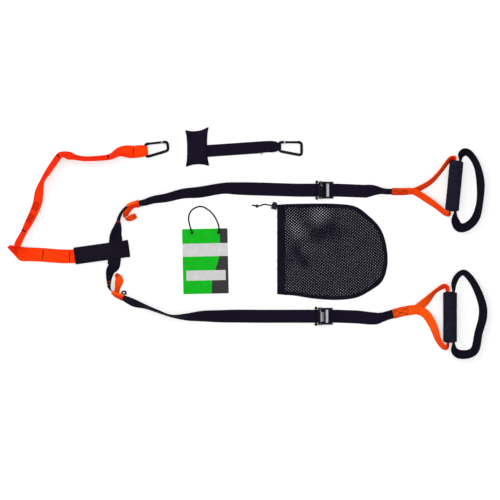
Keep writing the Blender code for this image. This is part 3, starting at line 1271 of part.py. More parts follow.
def door_card():
    """The plain door card and the cord it hangs from."""
    place = place_empty("card_place", at_share(CARD_PLACE_SHARE), CARD_TURN)
    outline = []
    for x, y, start in ((1, 1, 0), (-1, 1, 90), (-1, -1, 180), (1, -1, 270)):
        centre = (x * (CARD_WIDTH / 2 - CARD_CORNER), y * (CARD_LENGTH / 2 - CARD_CORNER))
        outline += arc(centre, CARD_CORNER, start, start + 90, 4)
    turn = Matrix.Rotation(CARD_TURN, 3, "Z")
    outlines = [outline]
    holes = []
    for across, along in CARD_HOLE_SHARES:
        middle = Vector((across * CARD_WIDTH, along * CARD_LENGTH, 0.0))
        outlines.append(circle((middle.x, middle.y), CARD_HOLE_RADIUS, 16))
        holes.append(at_share(CARD_PLACE_SHARE) + turn @ middle)
    card = flat_plate("door_card", outlines, CARD_THICKNESS, CARD_GREEN, place)
    card.location = (0.0, 0.0, CARD_THICKNESS / 2)
    shifts = [hole - at_share(share) for hole, share in zip(holes, CARD_CORD_END_SHARES)]
    points = tied(cord_points(CARD_CORD_SHARES, CARD_CORD_DIAMETER), shifts)
    cord = tube("door_card_cord", points, CARD_CORD_DIAMETER / 2, FOAM)
    size = CARD_CORD_DIAMETER / 2 * KNOT_SHARE
    top = UP * (CARD_THICKNESS + size * KNOT_SEAT_SHARE)
    for number, hole in enumerate(holes):
        ball = knot("card_knot_" + str(number), hole + top, size, FOAM)
        cut(cord, ball, "UNION")
        leg = tube("card_leg_" + str(number), [hole + UP * SEAT_GAP, hole + top], CARD_CORD_DIAMETER / 2, FOAM)
        cut(cord, leg, "UNION")


def main():
    """Build the whole set."""
    start_scene()
    anchor_sleeve()
    extender_strap()
    lower_seam, upper_seam = main_strap()
    arm_straps("upper", upper_seam, UPPER_ARM_SHARES, UPPER_BUCKLE_SHARE, UPPER_TAB_START, UPPER_PULL_SHARES, 1)
    arm_straps("lower", lower_seam, LOWER_ARM_SHARES, LOWER_BUCKLE_SHARE, LOWER_TAB_START, LOWER_PULL_SHARES, -1)
    lead_strap("upper", UPPER_BUCKLE_SHARE, UPPER_LEAD_SHARES, UPPER_GRIP_SHARE)
    lead_strap("lower", LOWER_BUCKLE_SHARE, LOWER_LEAD_SHARES, LOWER_GRIP_SHARE)
    cam_buckle("upper", UPPER_BUCKLE_SHARE)
    cam_buckle("lower", LOWER_BUCKLE_SHARE)
    carabiner("main", MAIN_CARABINER_SHARE, MAIN_CARABINER_TURN, False)
    carabiner("door", DOOR_CARABINER_SHARE, DOOR_CARABINER_TURN, True)
    handle("upper", UPPER_GRIP_SHARE, UPPER_GRIP_LEAN, UPPER_YOKE_OUT_SHARES, UPPER_YOKE_BACK_SHARES,
           UPPER_CRADLE_SHARES)
    handle("lower", LOWER_GRIP_SHARE, LOWER_GRIP_LEAN, LOWER_YOKE_OUT_SHARES, LOWER_YOKE_BACK_SHARES,
           LOWER_CRADLE_SHARES)
    door_anchor()
    carry_bag()
    door_card()


main()
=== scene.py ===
"""Suspension trainer with its door anchor, carry bag and door card, dressed and lit.

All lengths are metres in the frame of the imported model: +X runs from the anchor sleeve to the
handles, +Y across the layout, +Z up, and the floor is the plane z = 0.
"""
from __future__ import annotations

import logging
import math
from dataclasses import dataclass, replace
from enum import Enum

import bmesh
import bpy
from mathutils import Matrix, Vector, noise


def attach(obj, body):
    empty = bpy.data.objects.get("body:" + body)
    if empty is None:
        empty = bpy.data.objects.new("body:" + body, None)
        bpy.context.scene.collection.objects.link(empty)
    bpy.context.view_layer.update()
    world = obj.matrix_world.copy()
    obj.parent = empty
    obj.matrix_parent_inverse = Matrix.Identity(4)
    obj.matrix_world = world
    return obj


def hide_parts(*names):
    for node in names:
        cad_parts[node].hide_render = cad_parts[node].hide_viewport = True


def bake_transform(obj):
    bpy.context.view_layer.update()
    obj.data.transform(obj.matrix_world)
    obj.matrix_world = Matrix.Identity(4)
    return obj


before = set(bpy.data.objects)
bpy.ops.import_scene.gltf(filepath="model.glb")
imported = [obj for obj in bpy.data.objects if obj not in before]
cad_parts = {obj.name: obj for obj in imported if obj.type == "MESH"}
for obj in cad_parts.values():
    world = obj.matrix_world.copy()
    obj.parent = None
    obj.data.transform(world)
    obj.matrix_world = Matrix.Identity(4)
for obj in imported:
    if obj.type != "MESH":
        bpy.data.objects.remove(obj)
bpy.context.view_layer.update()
LOG = logging.getLogger("suspension_trainer")

Row = tuple[float, ...]
Spot = tuple[float, float]
Place = tuple[float, float, float]
Colour = tuple[float, float, float]
Geometry = bmesh.types.BMesh
Piece = bpy.types.Object
Node = bpy.types.Node
Socket = bpy.types.NodeSocket

LAYOUT_OFFSET = Vector((0.00484, 0.001925, 0.0))
PHOTO_MIDDLE = (250.0, 242.0)
PIXEL = 0.00275
UP = Vector((0.0, 0.0, 1.0))
ACROSS_Y = Vector((0.0, 1.0, 0.0))

STRAPS = "strap_set"
WEB_THICKNESS = 0.0018
FACE = WEB_THICKNESS / 2
SEAT_GAP = 0.0003
LAYER = WEB_THICKNESS + SEAT_GAP
ARM_WEB_WIDTH = 0.036

# Stops of each strap: x, y and tilt in degrees, then the rise in layers (0 where it is left out)
# and the width share (1 where it is left out). Outlines and cords have plain coordinates.
EXTENDER_STOPS = (
    (-0.3548, 0.2475, 46), (-0.3823, 0.2331, 66), (-0.4125, 0.2289, 70), (-0.4510, 0.2272, 72),
    (-0.4785, 0.2310, 70), (-0.4964, 0.2358, 58), (-0.5101, 0.2392, 66), (-0.5225, 0.2351, 62),
    (-0.5369, 0.2159, 62), (-0.5528, 0.1925, 64), (-0.5686, 0.1664, 70), (-0.5775, 0.1375, 52),
    (-0.5823, 0.1072, 48), (-0.5940, 0.0770, 52), (-0.6064, 0.0522, 56), (-0.6188, 0.0275, 64),
    (-0.6262, 0.0135, 63), (-0.6322, 0.0022, 60), (-0.6372, -0.0105, 60),
)
FOLD_STOPS = (
    (-0.6120, -0.0337, 0), (-0.5960, -0.0342, 0), (-0.5692, -0.0355, 0), (-0.5198, -0.0392, 0, 0.3),
)
MAIN_STRAP_STOPS = (
    (-0.3866, -0.1182, 80), (-0.3866, -0.0990, 68), (-0.3828, -0.0798, 50),
)
MAIN_STRAP_EXIT_STOPS = (
    (-0.3630, 0.0412, 56), (-0.3608, 0.0591, 79),
)
UPPER_ARM_STOPS = (
    (-0.3607, 0.0595, 79), (-0.3601, 0.0631, 79), (-0.3534, 0.0791, 82), (-0.3410, 0.0935, 82, 0.5),
    (-0.3259, 0.1011, 76, 1.8), (-0.3080, 0.1056, 70, 1.8), (-0.2888, 0.1093, 66, 0.6),
    (-0.2640, 0.1169, 60), (-0.2283, 0.1224, 54), (-0.1843, 0.1334, 47), (-0.1375, 0.1375, 38),
    (-0.0742, 0.1478, 38), (-0.0275, 0.1471, 20), (0.0330, 0.1455, 5),
)
LOWER_ARM_STOPS = (
    (-0.3866, -0.1186, 100), (-0.3865, -0.1227, 99), (-0.3816, -0.1327, 90, 0.6),
    (-0.3685, -0.1430, 78, 1.7), (-0.3520, -0.1499, 72, 1.7), (-0.3355, -0.1581, 62, 0.6),
    (-0.3163, -0.1671, 58), (-0.2860, -0.1767, 74), (-0.2530, -0.1891, 80), (-0.2152, -0.2021, 82),
    (-0.1733, -0.2049, 60), (-0.1293, -0.2028, 38), (-0.0825, -0.2035, 22), (-0.0275, -0.2035, 8),
    (0.0330, -0.2041, 3),
)
UPPER_LEAD_STOPS = (
    (0.3163, 0.1394, 6), (0.3382, 0.1416, 30, 0, 0.94), (0.3603, 0.1400, 54, 0.6, 0.8),
    (0.3754, 0.1383, 58, 1, 0.778), (0.3891, 0.1383, 58, 1, 0.778), (0.4029, 0.1383, 58, 1, 0.778),
)
LOWER_LEAD_STOPS = (
    (0.2970, -0.2062, 2), (0.3410, -0.2104, 10, 0, 0.96), (0.3630, -0.2065, 25, 0.6, 0.82),
    (0.3795, -0.2013, 28, 1, 0.778), (0.3932, -0.1977, 28, 1, 0.778), (0.4070, -0.1941, 28, 1, 0.778),
)
UPPER_YOKE_OUT_STOPS = (
    (0.3891, 0.1383, 58, 1), (0.4029, 0.1383, 58, 1), (0.4208, 0.1383, 58, 1), (0.4510, 0.1361, 54, 1),
    (0.4854, 0.1155, 52, 0.8), (0.5142, 0.0949, 58, 1, 0.96), (0.5335, 0.0791, 60, 2.0, 0.96),
    (0.5452, 0.0742, 62, 2.6, 0.9),
)
UPPER_YOKE_BACK_STOPS = (
    (0.5555, 0.2324, 116, 2.6, 0.9), (0.5445, 0.2255, 118, 2.0, 0.96), (0.5184, 0.1911, 116, 1, 0.96),
    (0.4909, 0.1636, 120), (0.4510, 0.1430, 122, 1), (0.4208, 0.1383, 122, 1), (0.4029, 0.1383, 122, 1),
    (0.3891, 0.1383, 122, 1),
)
LOWER_YOKE_OUT_STOPS = (
    (0.3932, -0.1977, 28, 1), (0.4070, -0.1941, 28, 1), (0.4239, -0.1898, 28, 1),
    (0.4538, -0.1870, 26, 1), (0.4812, -0.1980, 30, 1), (0.5019, -0.2310, 40, 1),
    (0.5149, -0.2681, 54, 1.2, 0.94), (0.5294, -0.2888, 60, 2.0, 0.94),
    (0.5397, -0.2922, 62, 2.8, 0.88),
)
LOWER_YOKE_BACK_STOPS = (
    (0.5404, -0.1217, 116, 2.8, 0.88), (0.5294, -0.1203, 122, 2.0, 0.94),
    (0.5060, -0.1354, 118, 1.2, 0.92), (0.4812, -0.1623, 142, 1), (0.4538, -0.1843, 152, 1),
    (0.4239, -0.1898, 152, 1), (0.4070, -0.1941, 152, 1), (0.3932, -0.1977, 152, 1),
)
UPPER_CRADLE_STOPS = (
    (0.5792, 0.2392, 52, 1.4, 0.80), (0.5892, 0.2468, 58, 0.3, 0.95), (0.6050, 0.2392, 66),
    (0.6229, 0.2090, 66), (0.6325, 0.1623, 60), (0.6304, 0.1100, 66), (0.6188, 0.0660, 58),
    (0.5954, 0.0426, 54), (0.5734, 0.0406, 46, 0.3), (0.5631, 0.0591, 44, 1.8, 0.86),
)
LOWER_CRADLE_STOPS = (
    (0.5603, -0.1114, 56, 1.4, 0.80), (0.5713, -0.0914, 62, 0.3, 0.95), (0.5899, -0.0852, 66),
    (0.6160, -0.1169, 64), (0.6366, -0.1678, 60), (0.6387, -0.2062, 58), (0.6270, -0.2502, 60),
    (0.6188, -0.2915, 58), (0.6022, -0.3066, 56), (0.5747, -0.3080, 50, 0.3, 0.96),
    (0.5610, -0.2977, 48, 1.8, 0.80),
)
UPPER_PULL_STOPS = (
    (-0.3327, 0.0880, 122, 0, 0.9), (-0.3410, 0.0777, 124), (-0.3438, 0.0694, 104),
    (-0.3382, 0.0639, 68), (-0.3272, 0.0660, 48), (-0.3121, 0.0729, 50, 0, 0.8),
)
LOWER_PULL_STOPS = (
    (-0.3637, -0.1265, 50, 0, 0.86), (-0.3609, -0.1141, 34), (-0.3589, -0.1045, 32),
    (-0.3623, -0.0949, 46, 0, 0.9), (-0.3699, -0.0887, 60, 0, 0.66),
)
DOOR_STRAP_STOPS = (
    (-0.1258, 0.2496, 0), (-0.0550, 0.2544, 4), (0.0138, 0.2592, 4),
)
BAG_OUTLINE = (
    (0.0742, 0.0990), (0.0963, 0.1024), (0.1788, 0.1038), (0.2475, 0.1024), (0.2915, 0.0949),
    (0.3272, 0.0688), (0.3534, 0.0412), (0.3685, 0.0083), (0.3761, -0.0357), (0.3740, -0.0742),
    (0.3603, -0.1086), (0.3300, -0.1320), (0.2915, -0.1512), (0.2392, -0.1574), (0.1774, -0.1540),
    (0.1237, -0.1457), (0.0742, -0.1416),
)
DRAWCORD_POINTS = (
    (0.0852, -0.1320, 0.00230), (0.0852, -0.0412, 0.00230), (0.0852, 0.0412, 0.00230),
    (0.0852, 0.0825, 0.00230), (0.0850, 0.0896, 0.00320), (0.0828, 0.0943, 0.00608),
    (0.0786, 0.0961, 0.00784), (0.0729, 0.0972, 0.00784), (0.0667, 0.0984, 0.00784),
    (0.0605, 0.0997, 0.00784), (0.0550, 0.1008, 0.00784), (0.0495, 0.1019, 0.00784),
    (0.0440, 0.1030, 0.00752), (0.0399, 0.1034, 0.00480), (0.0360, 0.1029, 0.00224),
    (0.0302, 0.1005, 0.00173), (0.0247, 0.0993, 0.00173), (0.0192, 0.0987, 0.00173),
)
CARD_CORD_POINTS = (
    (-0.1600, 0.0275, 0.00442), (-0.1611, 0.0323, 0.00408), (-0.1636, 0.0399, 0.00340),
    (-0.1671, 0.0522, 0.00187), (-0.1689, 0.0633, 0.00187), (-0.1680, 0.0742, 0.00187),
    (-0.1636, 0.0839, 0.00187), (-0.1568, 0.0907, 0.00187), (-0.1471, 0.0956, 0.00187),
    (-0.1375, 0.0979, 0.00187), (-0.1279, 0.0963, 0.00187), (-0.1182, 0.0913, 0.00187),
    (-0.1086, 0.0842, 0.00187), (-0.1004, 0.0749, 0.00187), (-0.0935, 0.0646, 0.00187),
    (-0.0883, 0.0536, 0.00187), (-0.0852, 0.0412, 0.00340), (-0.0855, 0.0323, 0.00408),
    (-0.0866, 0.0275, 0.00442),
)


@dataclass(frozen=True)
class Section:
    """One section of a webbing: its middle, the way across it, the way out of its face."""

    middle: Vector
    across: Vector
    out: Vector
    width: float

    def moved(self, distance: float) -> Section:
        """The same section moved out of its face."""
        return Section(self.middle + self.out * distance, self.across, self.out, self.width)

    def turned_over(self) -> Section:
        """The same section for webbing that runs the other way, face down."""
        return Section(self.middle, self.across, -self.out, self.width)

    def point(self, across: float, out: float) -> Vector:
        """A point of the section, a distance across it and a distance out of its face."""
        return self.middle + self.across * across + self.out * out


Route = list[Section]


def at(x: float, y: float, z: float = 0.0) -> Vector:
    """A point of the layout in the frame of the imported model."""
    return Vector((x, y, z)) + LAYOUT_OFFSET


def seen_at(column: float, row: float, z: float = 0.0) -> Vector:
    """The point of the layout that a pixel of the photograph shows."""
    return at((column - PHOTO_MIDDLE[0]) * PIXEL, (PHOTO_MIDDLE[1] - row) * PIXEL, z)


def spun(degrees: float, vector: Vector) -> Vector:
    """A vector turned about the upright axis."""
    return Matrix.Rotation(math.radians(degrees), 3, "Z") @ vector


def clamp(value: float, low: float = 0.0, high: float = 1.0) -> float:
    """A value kept between two others."""
    return min(max(value, low), high)


def flat_row(point: Vector, rise: float = 0.0, width_share: float = 1.0) -> list[float]:
    """A stop of webbing that lies flat."""
    return [point.x, point.y, 0.0, rise, width_share]


def placed(stops: tuple[Row, ...]) -> list[list[float]]:
    """Stops turned from layers to metres and moved to the model's frame.

    Args:
        stops: Rows of a table of stops.

    Returns:
        Full rows of x, y, tilt, rise in metres and width share.
    """
    rows = []
    for stop in stops:
        x, y, tilt, rise, share = (*stop, *(0.0, 1.0)[len(stop) - 3:])
        spot = at(x, y)
        rows.append([spot.x, spot.y, tilt, rise * LAYER, share])
    return rows


def smooth_rows(rows: list[list[float]], steps: int, closed: bool = False) -> list[list[float]]:
    """Rows of numbers read from a smooth curve through the given rows.

    Args:
        rows: The stops, each a row of numbers.
        steps: How many rows each span between two stops gives.
        closed: Whether the last stop runs on into the first.

    Returns:
        The finer rows.
    """
    count = len(rows)
    result = []
    for i in range(count if closed else count - 1):
        near = range(i - 1, i + 3)
        quad = [rows[k % count if closed else min(max(k, 0), count - 1)] for k in near]
        for step in range(steps):
            t = step / steps
            shares = (
                (-t + 2 * t * t - t**3) / 2,
                (2 - 5 * t * t + 3 * t**3) / 2,
                (t + 4 * t * t - 3 * t**3) / 2,
                (t**3 - t * t) / 2,
            )
            result.append([sum(w * value for w, value in zip(shares, column)) for column in zip(*quad)])
    if not closed:
        result.append(list(rows[-1]))
    return result


def neighbours(items: list, i: int, closed: bool = False) -> tuple:
    """The entries before and after one of a line, or of a loop that is closed."""
    last = len(items) - 1
    return (items[i - 1], items[i - last]) if closed else (items[max(i - 1, 0)], items[min(i + 1, last)])


def route(rows: list[list[float]], width: float, steps: int = 9, closed: bool = False) -> Route:
    """Sections along smoothed rows, each with its lower edge on the floor plus its rise.

    Args:
        rows: Stops as x, y, tilt in degrees, rise in metres and width share.
        width: The webbing's full width.
        steps: Sections in each span between two stops.
        closed: Whether the strap is a closed loop.

    Returns:
        The strap's sections.
    """
    stops = smooth_rows(rows, steps, closed)
    sections = []
    for i, (x, y, tilt, rise, share) in enumerate(stops):
        before, after = neighbours(stops, i, closed)
        along = Vector((after[0] - before[0], after[1] - before[1], 0.0)).normalized()
        side = Vector((-along.y, along.x, 0.0))
        angle = math.radians(tilt)
        across = side * math.cos(angle) + UP * math.sin(angle)
        out = UP * math.cos(angle) - side * math.sin(angle)
        edge = abs(math.sin(angle)) * width * share / 2
        height = max(rise, 0.0) + edge + abs(math.cos(angle)) * FACE
        sections.append(Section(Vector((x, y, height)), across, out, width * share))
    return sections


def upright_route(points: list[Vector], across: Vector, width: float, steps: int = 6) -> Route:
    """Sections of webbing that keeps one way across and follows points in an upright plane.

    Args:
        points: The stops of the webbing's middle.
        across: The way across the webbing.
        width: The webbing's width.
        steps: Sections in each span between two stops.

    Returns:
        The strap's sections.
    """
    finer = []
    for before, after in zip(points, points[1:]):
        for k in range(steps):
            t = k / steps
            ease = t * t * (3 - 2 * t)
            height = before.z + (after.z - before.z) * ease
            finer.append(Vector((before.x + (after.x - before.x) * t, before.y, height)))
    finer.append(points[-1])
    sections = []
    for i, point in enumerate(finer):
        before, after = neighbours(finer, i)
        out = (after - before).normalized().cross(across).normalized()
        sections.append(Section(point, across, out, width))
    return sections


def half_turn(last: Section, radius: float, pinch: float = 1.0, steps: int = 16) -> Route:
    """Half a turn of webbing round a bar that lies at a radius out of the last section's face.

    Args:
        last: The section that the turn starts from.
        radius: From the bar's middle to the webbing's middle.
        pinch: The width share half-way round.
        steps: How finely the turn is made.

    Returns:
        The sections between the start and the end of the turn.
    """
    centre = last.middle + last.out * radius
    forward = last.across.cross(last.out).normalized()
    sections = []
    for i in range(1, steps):
        angle = math.pi * i / steps
        away = forward * math.sin(angle) - last.out * math.cos(angle)
        width = last.width * (1.0 - (1.0 - pinch) * math.sin(angle))
        sections.append(Section(centre + away * radius, last.across, -away, width))
    return sections


def marks_along(points: list[Vector]) -> list[float]:
    """How far along a line each of its points lies.

    Args:
        points: The line.

    Returns:
        A length for each point, from nought.
    """
    marks = [0.0]
    for one, two in zip(points, points[1:]):
        marks.append(marks[-1] + (two - one).length)
    return marks


def lengths_along(sections: Route) -> list[float]:
    """How far along the webbing each section lies."""
    return marks_along([section.middle for section in sections])


def span_at(marks: list[float], length: float) -> tuple[int, float]:
    """The span of a line that a length falls in, and the share of it that lies before.

    Args:
        marks: How far along each point of the line lies.
        length: The length to look up.

    Returns:
        The index of the span's first point, and the share.
    """
    i = next((k for k in range(len(marks) - 1) if marks[k + 1] >= length), len(marks) - 2)
    return i, (length - marks[i]) / max(marks[i + 1] - marks[i], 1e-9)


def section_at(sections: Route, length: float) -> Section:
    """The section at a length along the webbing, read between its neighbours.

    Args:
        sections: The webbing.
        length: How far along it.

    Returns:
        The section there.
    """
    i, share = span_at(lengths_along(sections), length)
    t = clamp(share)
    one, two = sections[i:i + 2]
    return Section(
        one.middle.lerp(two.middle, t), one.across.lerp(two.across, t).normalized(),
        one.out.lerp(two.out, t).normalized(), one.width + (two.width - one.width) * t,
    )


def nearest_length(sections: Route, spot: Vector) -> float:
    """How far along the webbing the section nearest to a spot of the floor lies."""
    gaps = [(section.middle.xy - spot.xy).length for section in sections]
    return lengths_along(sections)[gaps.index(min(gaps))]


class Sketch:
    """Nodes of one tree, added and linked in few words."""

    def __init__(self, tree: bpy.types.NodeTree) -> None:
        """Start on a node tree."""
        self.tree = tree
        self.shader = tree.nodes.get("Principled BSDF")

    def add(self, kind: str, **settings: object) -> Node:
        """Add a node of a kind.

        Args:
            kind: The node's type, without the words that all of them start with.
            settings: Its properties.

        Returns:
            The node.
        """
        node = self.tree.nodes.new(kind if kind.startswith("NodeGroup") else f"ShaderNode{kind}")
        for name, value in settings.items():
            setattr(node, name, value)
        return node

    def feed(self, socket: Socket, value: object) -> None:
        """Link a socket to another one, or set it.

        Args:
            socket: The input.
            value: An output to link it to, a number, or a colour of three or four numbers.
        """
        if isinstance(value, Socket):
            self.tree.links.new(value, socket)
        elif socket.type == "RGBA":
            socket.default_value = (*value, 1.0)[:4]
        else:
            socket.default_value = value

    def fill(self, node: Node, **values: object) -> Node:
        """Feed a node's inputs by name.

        Args:
            node: The node.
            values: What each input gets; spaces in the names are written as underscores.

        Returns:
            The node.
        """
        for name, value in values.items():
            self.feed(node.inputs[name.replace("_", " ")], value)
        return node

    def math(self, operation: str, *values: object) -> Socket:
        """A Math node's result.

        Args:
            operation: Which sum it does.
            values: Its one to three values.

        Returns:
            The result.
        """
        node = self.add("Math", operation=operation)
        for socket, value in zip(node.inputs, values):
            self.feed(socket, value)
        return node.outputs[0]

    def times(self, one: object, two: object) -> Socket:
        """The product of two values."""
        return self.math("MULTIPLY", one, two)

    def fit(self, value: object, scale: object, start: object) -> Socket:
        """A value scaled, on top of a start."""
        return self.math("MULTIPLY_ADD", value, scale, start)

    def ramp(self, value: object, low: object, high: object, start: float = 0.0, end: float = 1.0) -> Socket:
        """A value mapped smoothly from one range to another.

        Args:
            value: The value.
            low: Where the first range starts.
            high: Where it ends.
            start: Where the second range starts.
            end: Where it ends.

        Returns:
            The mapped value.
        """
        node = self.add("MapRange", interpolation_type="SMOOTHSTEP")
        for socket, entry in zip(node.inputs, (value, low, high, start, end)):
            self.feed(socket, entry)
        return node.outputs[0]

    def mix(self, share: object, one: object, two: object) -> Socket:
        """A mix of two colours.

        Args:
            share: How much of the second.
            one: The first colour.
            two: The second colour.

        Returns:
            The mixed colour.
        """
        node = self.add("Mix", data_type="RGBA")
        for index, value in ((0, share), (6, one), (7, two)):
            self.feed(node.inputs[index], value)
        return node.outputs[2]

    def mottle(self, vector: object, scale: float, detail: float = 3.0, rough: float = 0.5) -> Socket:
        """A noise value over a vector.

        Args:
            vector: Where it is read.
            scale: How many blots to a metre.
            detail: How many finer layers it has.
            rough: How strong these are.

        Returns:
            The value.
        """
        node = self.fill(self.add("TexNoise"), Vector=vector, Scale=scale, Detail=detail, Roughness=rough)
        return node.outputs["Fac"]

    def place(self) -> Socket:
        """The place in the model's frame."""
        return self.add("TexCoord").outputs["Object"]

    def parts(self, vector: Socket) -> list[Socket]:
        """A vector's three parts."""
        return list(self.fill(self.add("SeparateXYZ"), Vector=vector).outputs)

    def facing_up(self) -> Socket:
        """How far the surface faces up."""
        return self.parts(self.add("NewGeometry").outputs["Normal"])[2]

    def bump(self, height: object, depth: float, strength: float) -> None:
        """Feed a height to the shader's normal.

        Args:
            height: The height, from nought to one.
            depth: What one stands for, in metres.
            strength: How much of it shows.
        """
        node = self.fill(self.add("Bump"), Height=height, Distance=depth, Strength=strength)
        self.fill(self.shader, Normal=node.outputs["Normal"])


class Effect(Enum):
    """The shared effects, each a shader node group."""

    WEAVE = "weave"
    GRAIN = "grain"
    EDGE_WEAR = "edge_wear"
    DUST = "dust"


def open_group(
    effect: Effect, inputs: tuple[str, ...], outputs: tuple[str, ...]
) -> tuple[Sketch, Node, Node]:
    """A new node group with named number sockets.

    Args:
        effect: The effect that the group makes.
        inputs: Names of its input values.
        outputs: Names of its output values.

    Returns:
        The sketch of its tree, its input node and its output node.
    """
    tree = bpy.data.node_groups.new(effect.value, "ShaderNodeTree")
    for names, side in ((inputs, "INPUT"), (outputs, "OUTPUT")):
        for name in names:
            tree.interface.new_socket(name=name, in_out=side, socket_type="NodeSocketFloat")
    sketch = Sketch(tree)
    return sketch, sketch.add("NodeGroupInput"), sketch.add("NodeGroupOutput")


def make_weave() -> bpy.types.NodeTree:
    """Woven tape: chevron ribs in narrow columns, with uneven yarn.

    Returns:
        The group's tree.
    """
    names = ("Along", "Across", "Pitch", "Column", "Unevenness")
    sketch, given, made = open_group(Effect.WEAVE, names, ("Height", "Shade"))
    along, across, pitch, column, uneven = given.outputs[:5]
    slant = sketch.math("PINGPONG", across, column)
    phase = sketch.math("DIVIDE", sketch.math("ADD", along, slant), pitch)
    rib = sketch.fit(sketch.math("COSINE", sketch.times(phase, math.tau)), 0.5, 0.5)
    lane = sketch.math("COSINE", sketch.times(sketch.math("DIVIDE", across, column), math.tau))
    lane = sketch.fit(lane, 0.5, 0.5)
    spot = sketch.add("CombineXYZ")
    sketch.fill(spot, X=sketch.times(across, 900.0), Y=sketch.times(along, 260.0))
    yarn = sketch.mottle(spot.outputs[0], 1.0, 2.0)
    body = sketch.fit(lane, 0.22, sketch.times(rib, 0.78))
    rough = sketch.times(sketch.math("SUBTRACT", yarn, 0.5), uneven)
    sketch.fill(made, Height=sketch.math("ADD", body, rough), Shade=sketch.fit(rough, 0.8, body))
    return sketch.tree


def make_grain() -> bpy.types.NodeTree:
    """Fine pebbled grain with broader unevenness.

    Returns:
        The group's tree.
    """
    sketch, given, made = open_group(Effect.GRAIN, ("Scale", "Broad Share"), ("Height", "Mask"))
    spot = sketch.place()
    fine = sketch.mottle(spot, given.outputs["Scale"], 4.0)
    cells = sketch.fill(sketch.add("TexVoronoi", feature="F1"), Vector=spot, Scale=given.outputs["Scale"])
    broad = sketch.math("SUBTRACT", sketch.mottle(spot, 60.0), 0.5)
    part = sketch.times(broad, given.outputs["Broad Share"])
    height = sketch.fit(cells.outputs["Distance"], 0.6, fine)
    sketch.fill(made, Height=height, Mask=sketch.fit(fine, 0.5, part))
    return sketch.tree


def make_edge_wear() -> bpy.types.NodeTree:
    """Where an outer edge has rubbed bright, broken up along its length.

    Returns:
        The group's tree.
    """
    sketch, given, made = open_group(Effect.EDGE_WEAR, ("Start", "End", "Breakup"), ("Mask",))
    start, end, breakup = given.outputs[:3]
    edge = sketch.ramp(sketch.add("NewGeometry").outputs["Pointiness"], start, end)
    patches = sketch.times(sketch.mottle(sketch.place(), 420.0, 5.0, 0.7), breakup)
    sketch.fill(made, Mask=sketch.times(edge, sketch.ramp(patches, 0.42, 0.62)))
    return sketch.tree


def make_dust() -> bpy.types.NodeTree:
    """Lint and dust that settles on what faces up.

    Returns:
        The group's tree.
    """
    sketch, given, made = open_group(Effect.DUST, ("Amount",), ("Mask",))
    spot = sketch.place()
    specks = sketch.ramp(sketch.mottle(spot, 1400.0, 2.0), 0.60, 0.74)
    film = sketch.mottle(spot, 35.0, 4.0)
    both = sketch.fit(film, 0.35, sketch.times(specks, film))
    settled = sketch.times(both, sketch.math("MAXIMUM", sketch.facing_up(), 0.0))
    sketch.fill(made, Mask=sketch.times(settled, given.outputs["Amount"]))
    return sketch.tree


GROUP_MAKERS = {
    Effect.WEAVE: make_weave, Effect.GRAIN: make_grain,
    Effect.EDGE_WEAR: make_edge_wear, Effect.DUST: make_dust,
}


def apply_effect(sketch: Sketch, effect: Effect, **values: object) -> dict[str, Socket]:
    """Place a shared effect in a material with its own values.

    Args:
        sketch: The material's nodes.
        effect: Which effect.
        values: Its inputs, with spaces in their names written as underscores.

    Returns:
        The group's outputs by name.
    """
    tree = bpy.data.node_groups.get(effect.value) or GROUP_MAKERS[effect]()
    node = sketch.fill(sketch.add("Group", node_tree=tree), **values)
    return {output.name: output for output in node.outputs}


def toned(colour: Colour, scale: float, lift: float = 0.0) -> Colour:
    """A colour scaled and lifted, at most one in each part."""
    return tuple(min(part * scale + lift, 1.0) for part in colour)


@dataclass(frozen=True)
class Finish:
    """What a piece is dressed in: a material, with a slot name."""

    name: str
    slot: str

    def build(self) -> bpy.types.Material:
        """Make the material, once.

        Returns:
            The material.
        """
        found = bpy.data.materials.get(self.name)
        if found:
            return found
        material = bpy.data.materials.new(self.name)
        material.use_nodes = True
        self.paint(Sketch(material.node_tree))
        return material

    def paint(self, sketch: Sketch) -> None:
        """Give the shader its looks; each kind of finish does it in its own way."""
        raise NotImplementedError


@dataclass(frozen=True)
class WebbingFinish(Finish):
    """Woven tape: its yarn's colour, a painted shade for the weave's hollows and a painted shade where the
    tape stands on edge, away from the overhead light.
    """

    yarn: Colour
    hollow_shade: Colour
    tilt_shade: Colour
    roughness: float = 0.72
    pitch: float = 0.0011
    column: float = 0.0022
    gloss: float = 0.03
    depth: float = 0.00018
    dust: float = 0.05

    def paint(self, sketch: Sketch) -> None:
        """Weave the yarn along the tape, with painted shade in its hollows and on its tilted faces.

        Args:
            sketch: The material's nodes.
        """
        across, along, _ = sketch.parts(sketch.add("UVMap", uv_map="tape").outputs[0])
        weave = apply_effect(sketch, Effect.WEAVE, Along=along, Across=across, Pitch=self.pitch,
                             Column=self.column, Unevenness=0.5)
        # Painted shade: faces that tilt away from straight up take the darker tilt-shade colour, mixed with a
        # random tone.
        flat = sketch.ramp(sketch.math("ABSOLUTE", sketch.facing_up()), 0.25, 0.95)
        share = sketch.math("ADD", flat, sketch.fit(sketch.mottle(sketch.place(), 16.0), 0.5, -0.25))
        share.node.use_clamp = True
        yarn = sketch.mix(share, self.tilt_shade, self.yarn)
        # Painted shade: the weave's hollows take the darker hollow-shade colour.
        colour = sketch.mix(sketch.ramp(weave["Shade"], 0.05, 0.75), self.hollow_shade, yarn)
        lint = apply_effect(sketch, Effect.DUST, Amount=self.dust)["Mask"]
        colour = sketch.mix(lint, colour, toned(self.yarn, 1.5, 0.05))
        rough = sketch.fit(weave["Shade"], -0.12, self.roughness + 0.08)
        sketch.fill(sketch.shader, Base_Color=colour, Roughness=rough, Specular_IOR_Level=self.gloss)
        sketch.bump(weave["Height"], self.depth, 0.8)


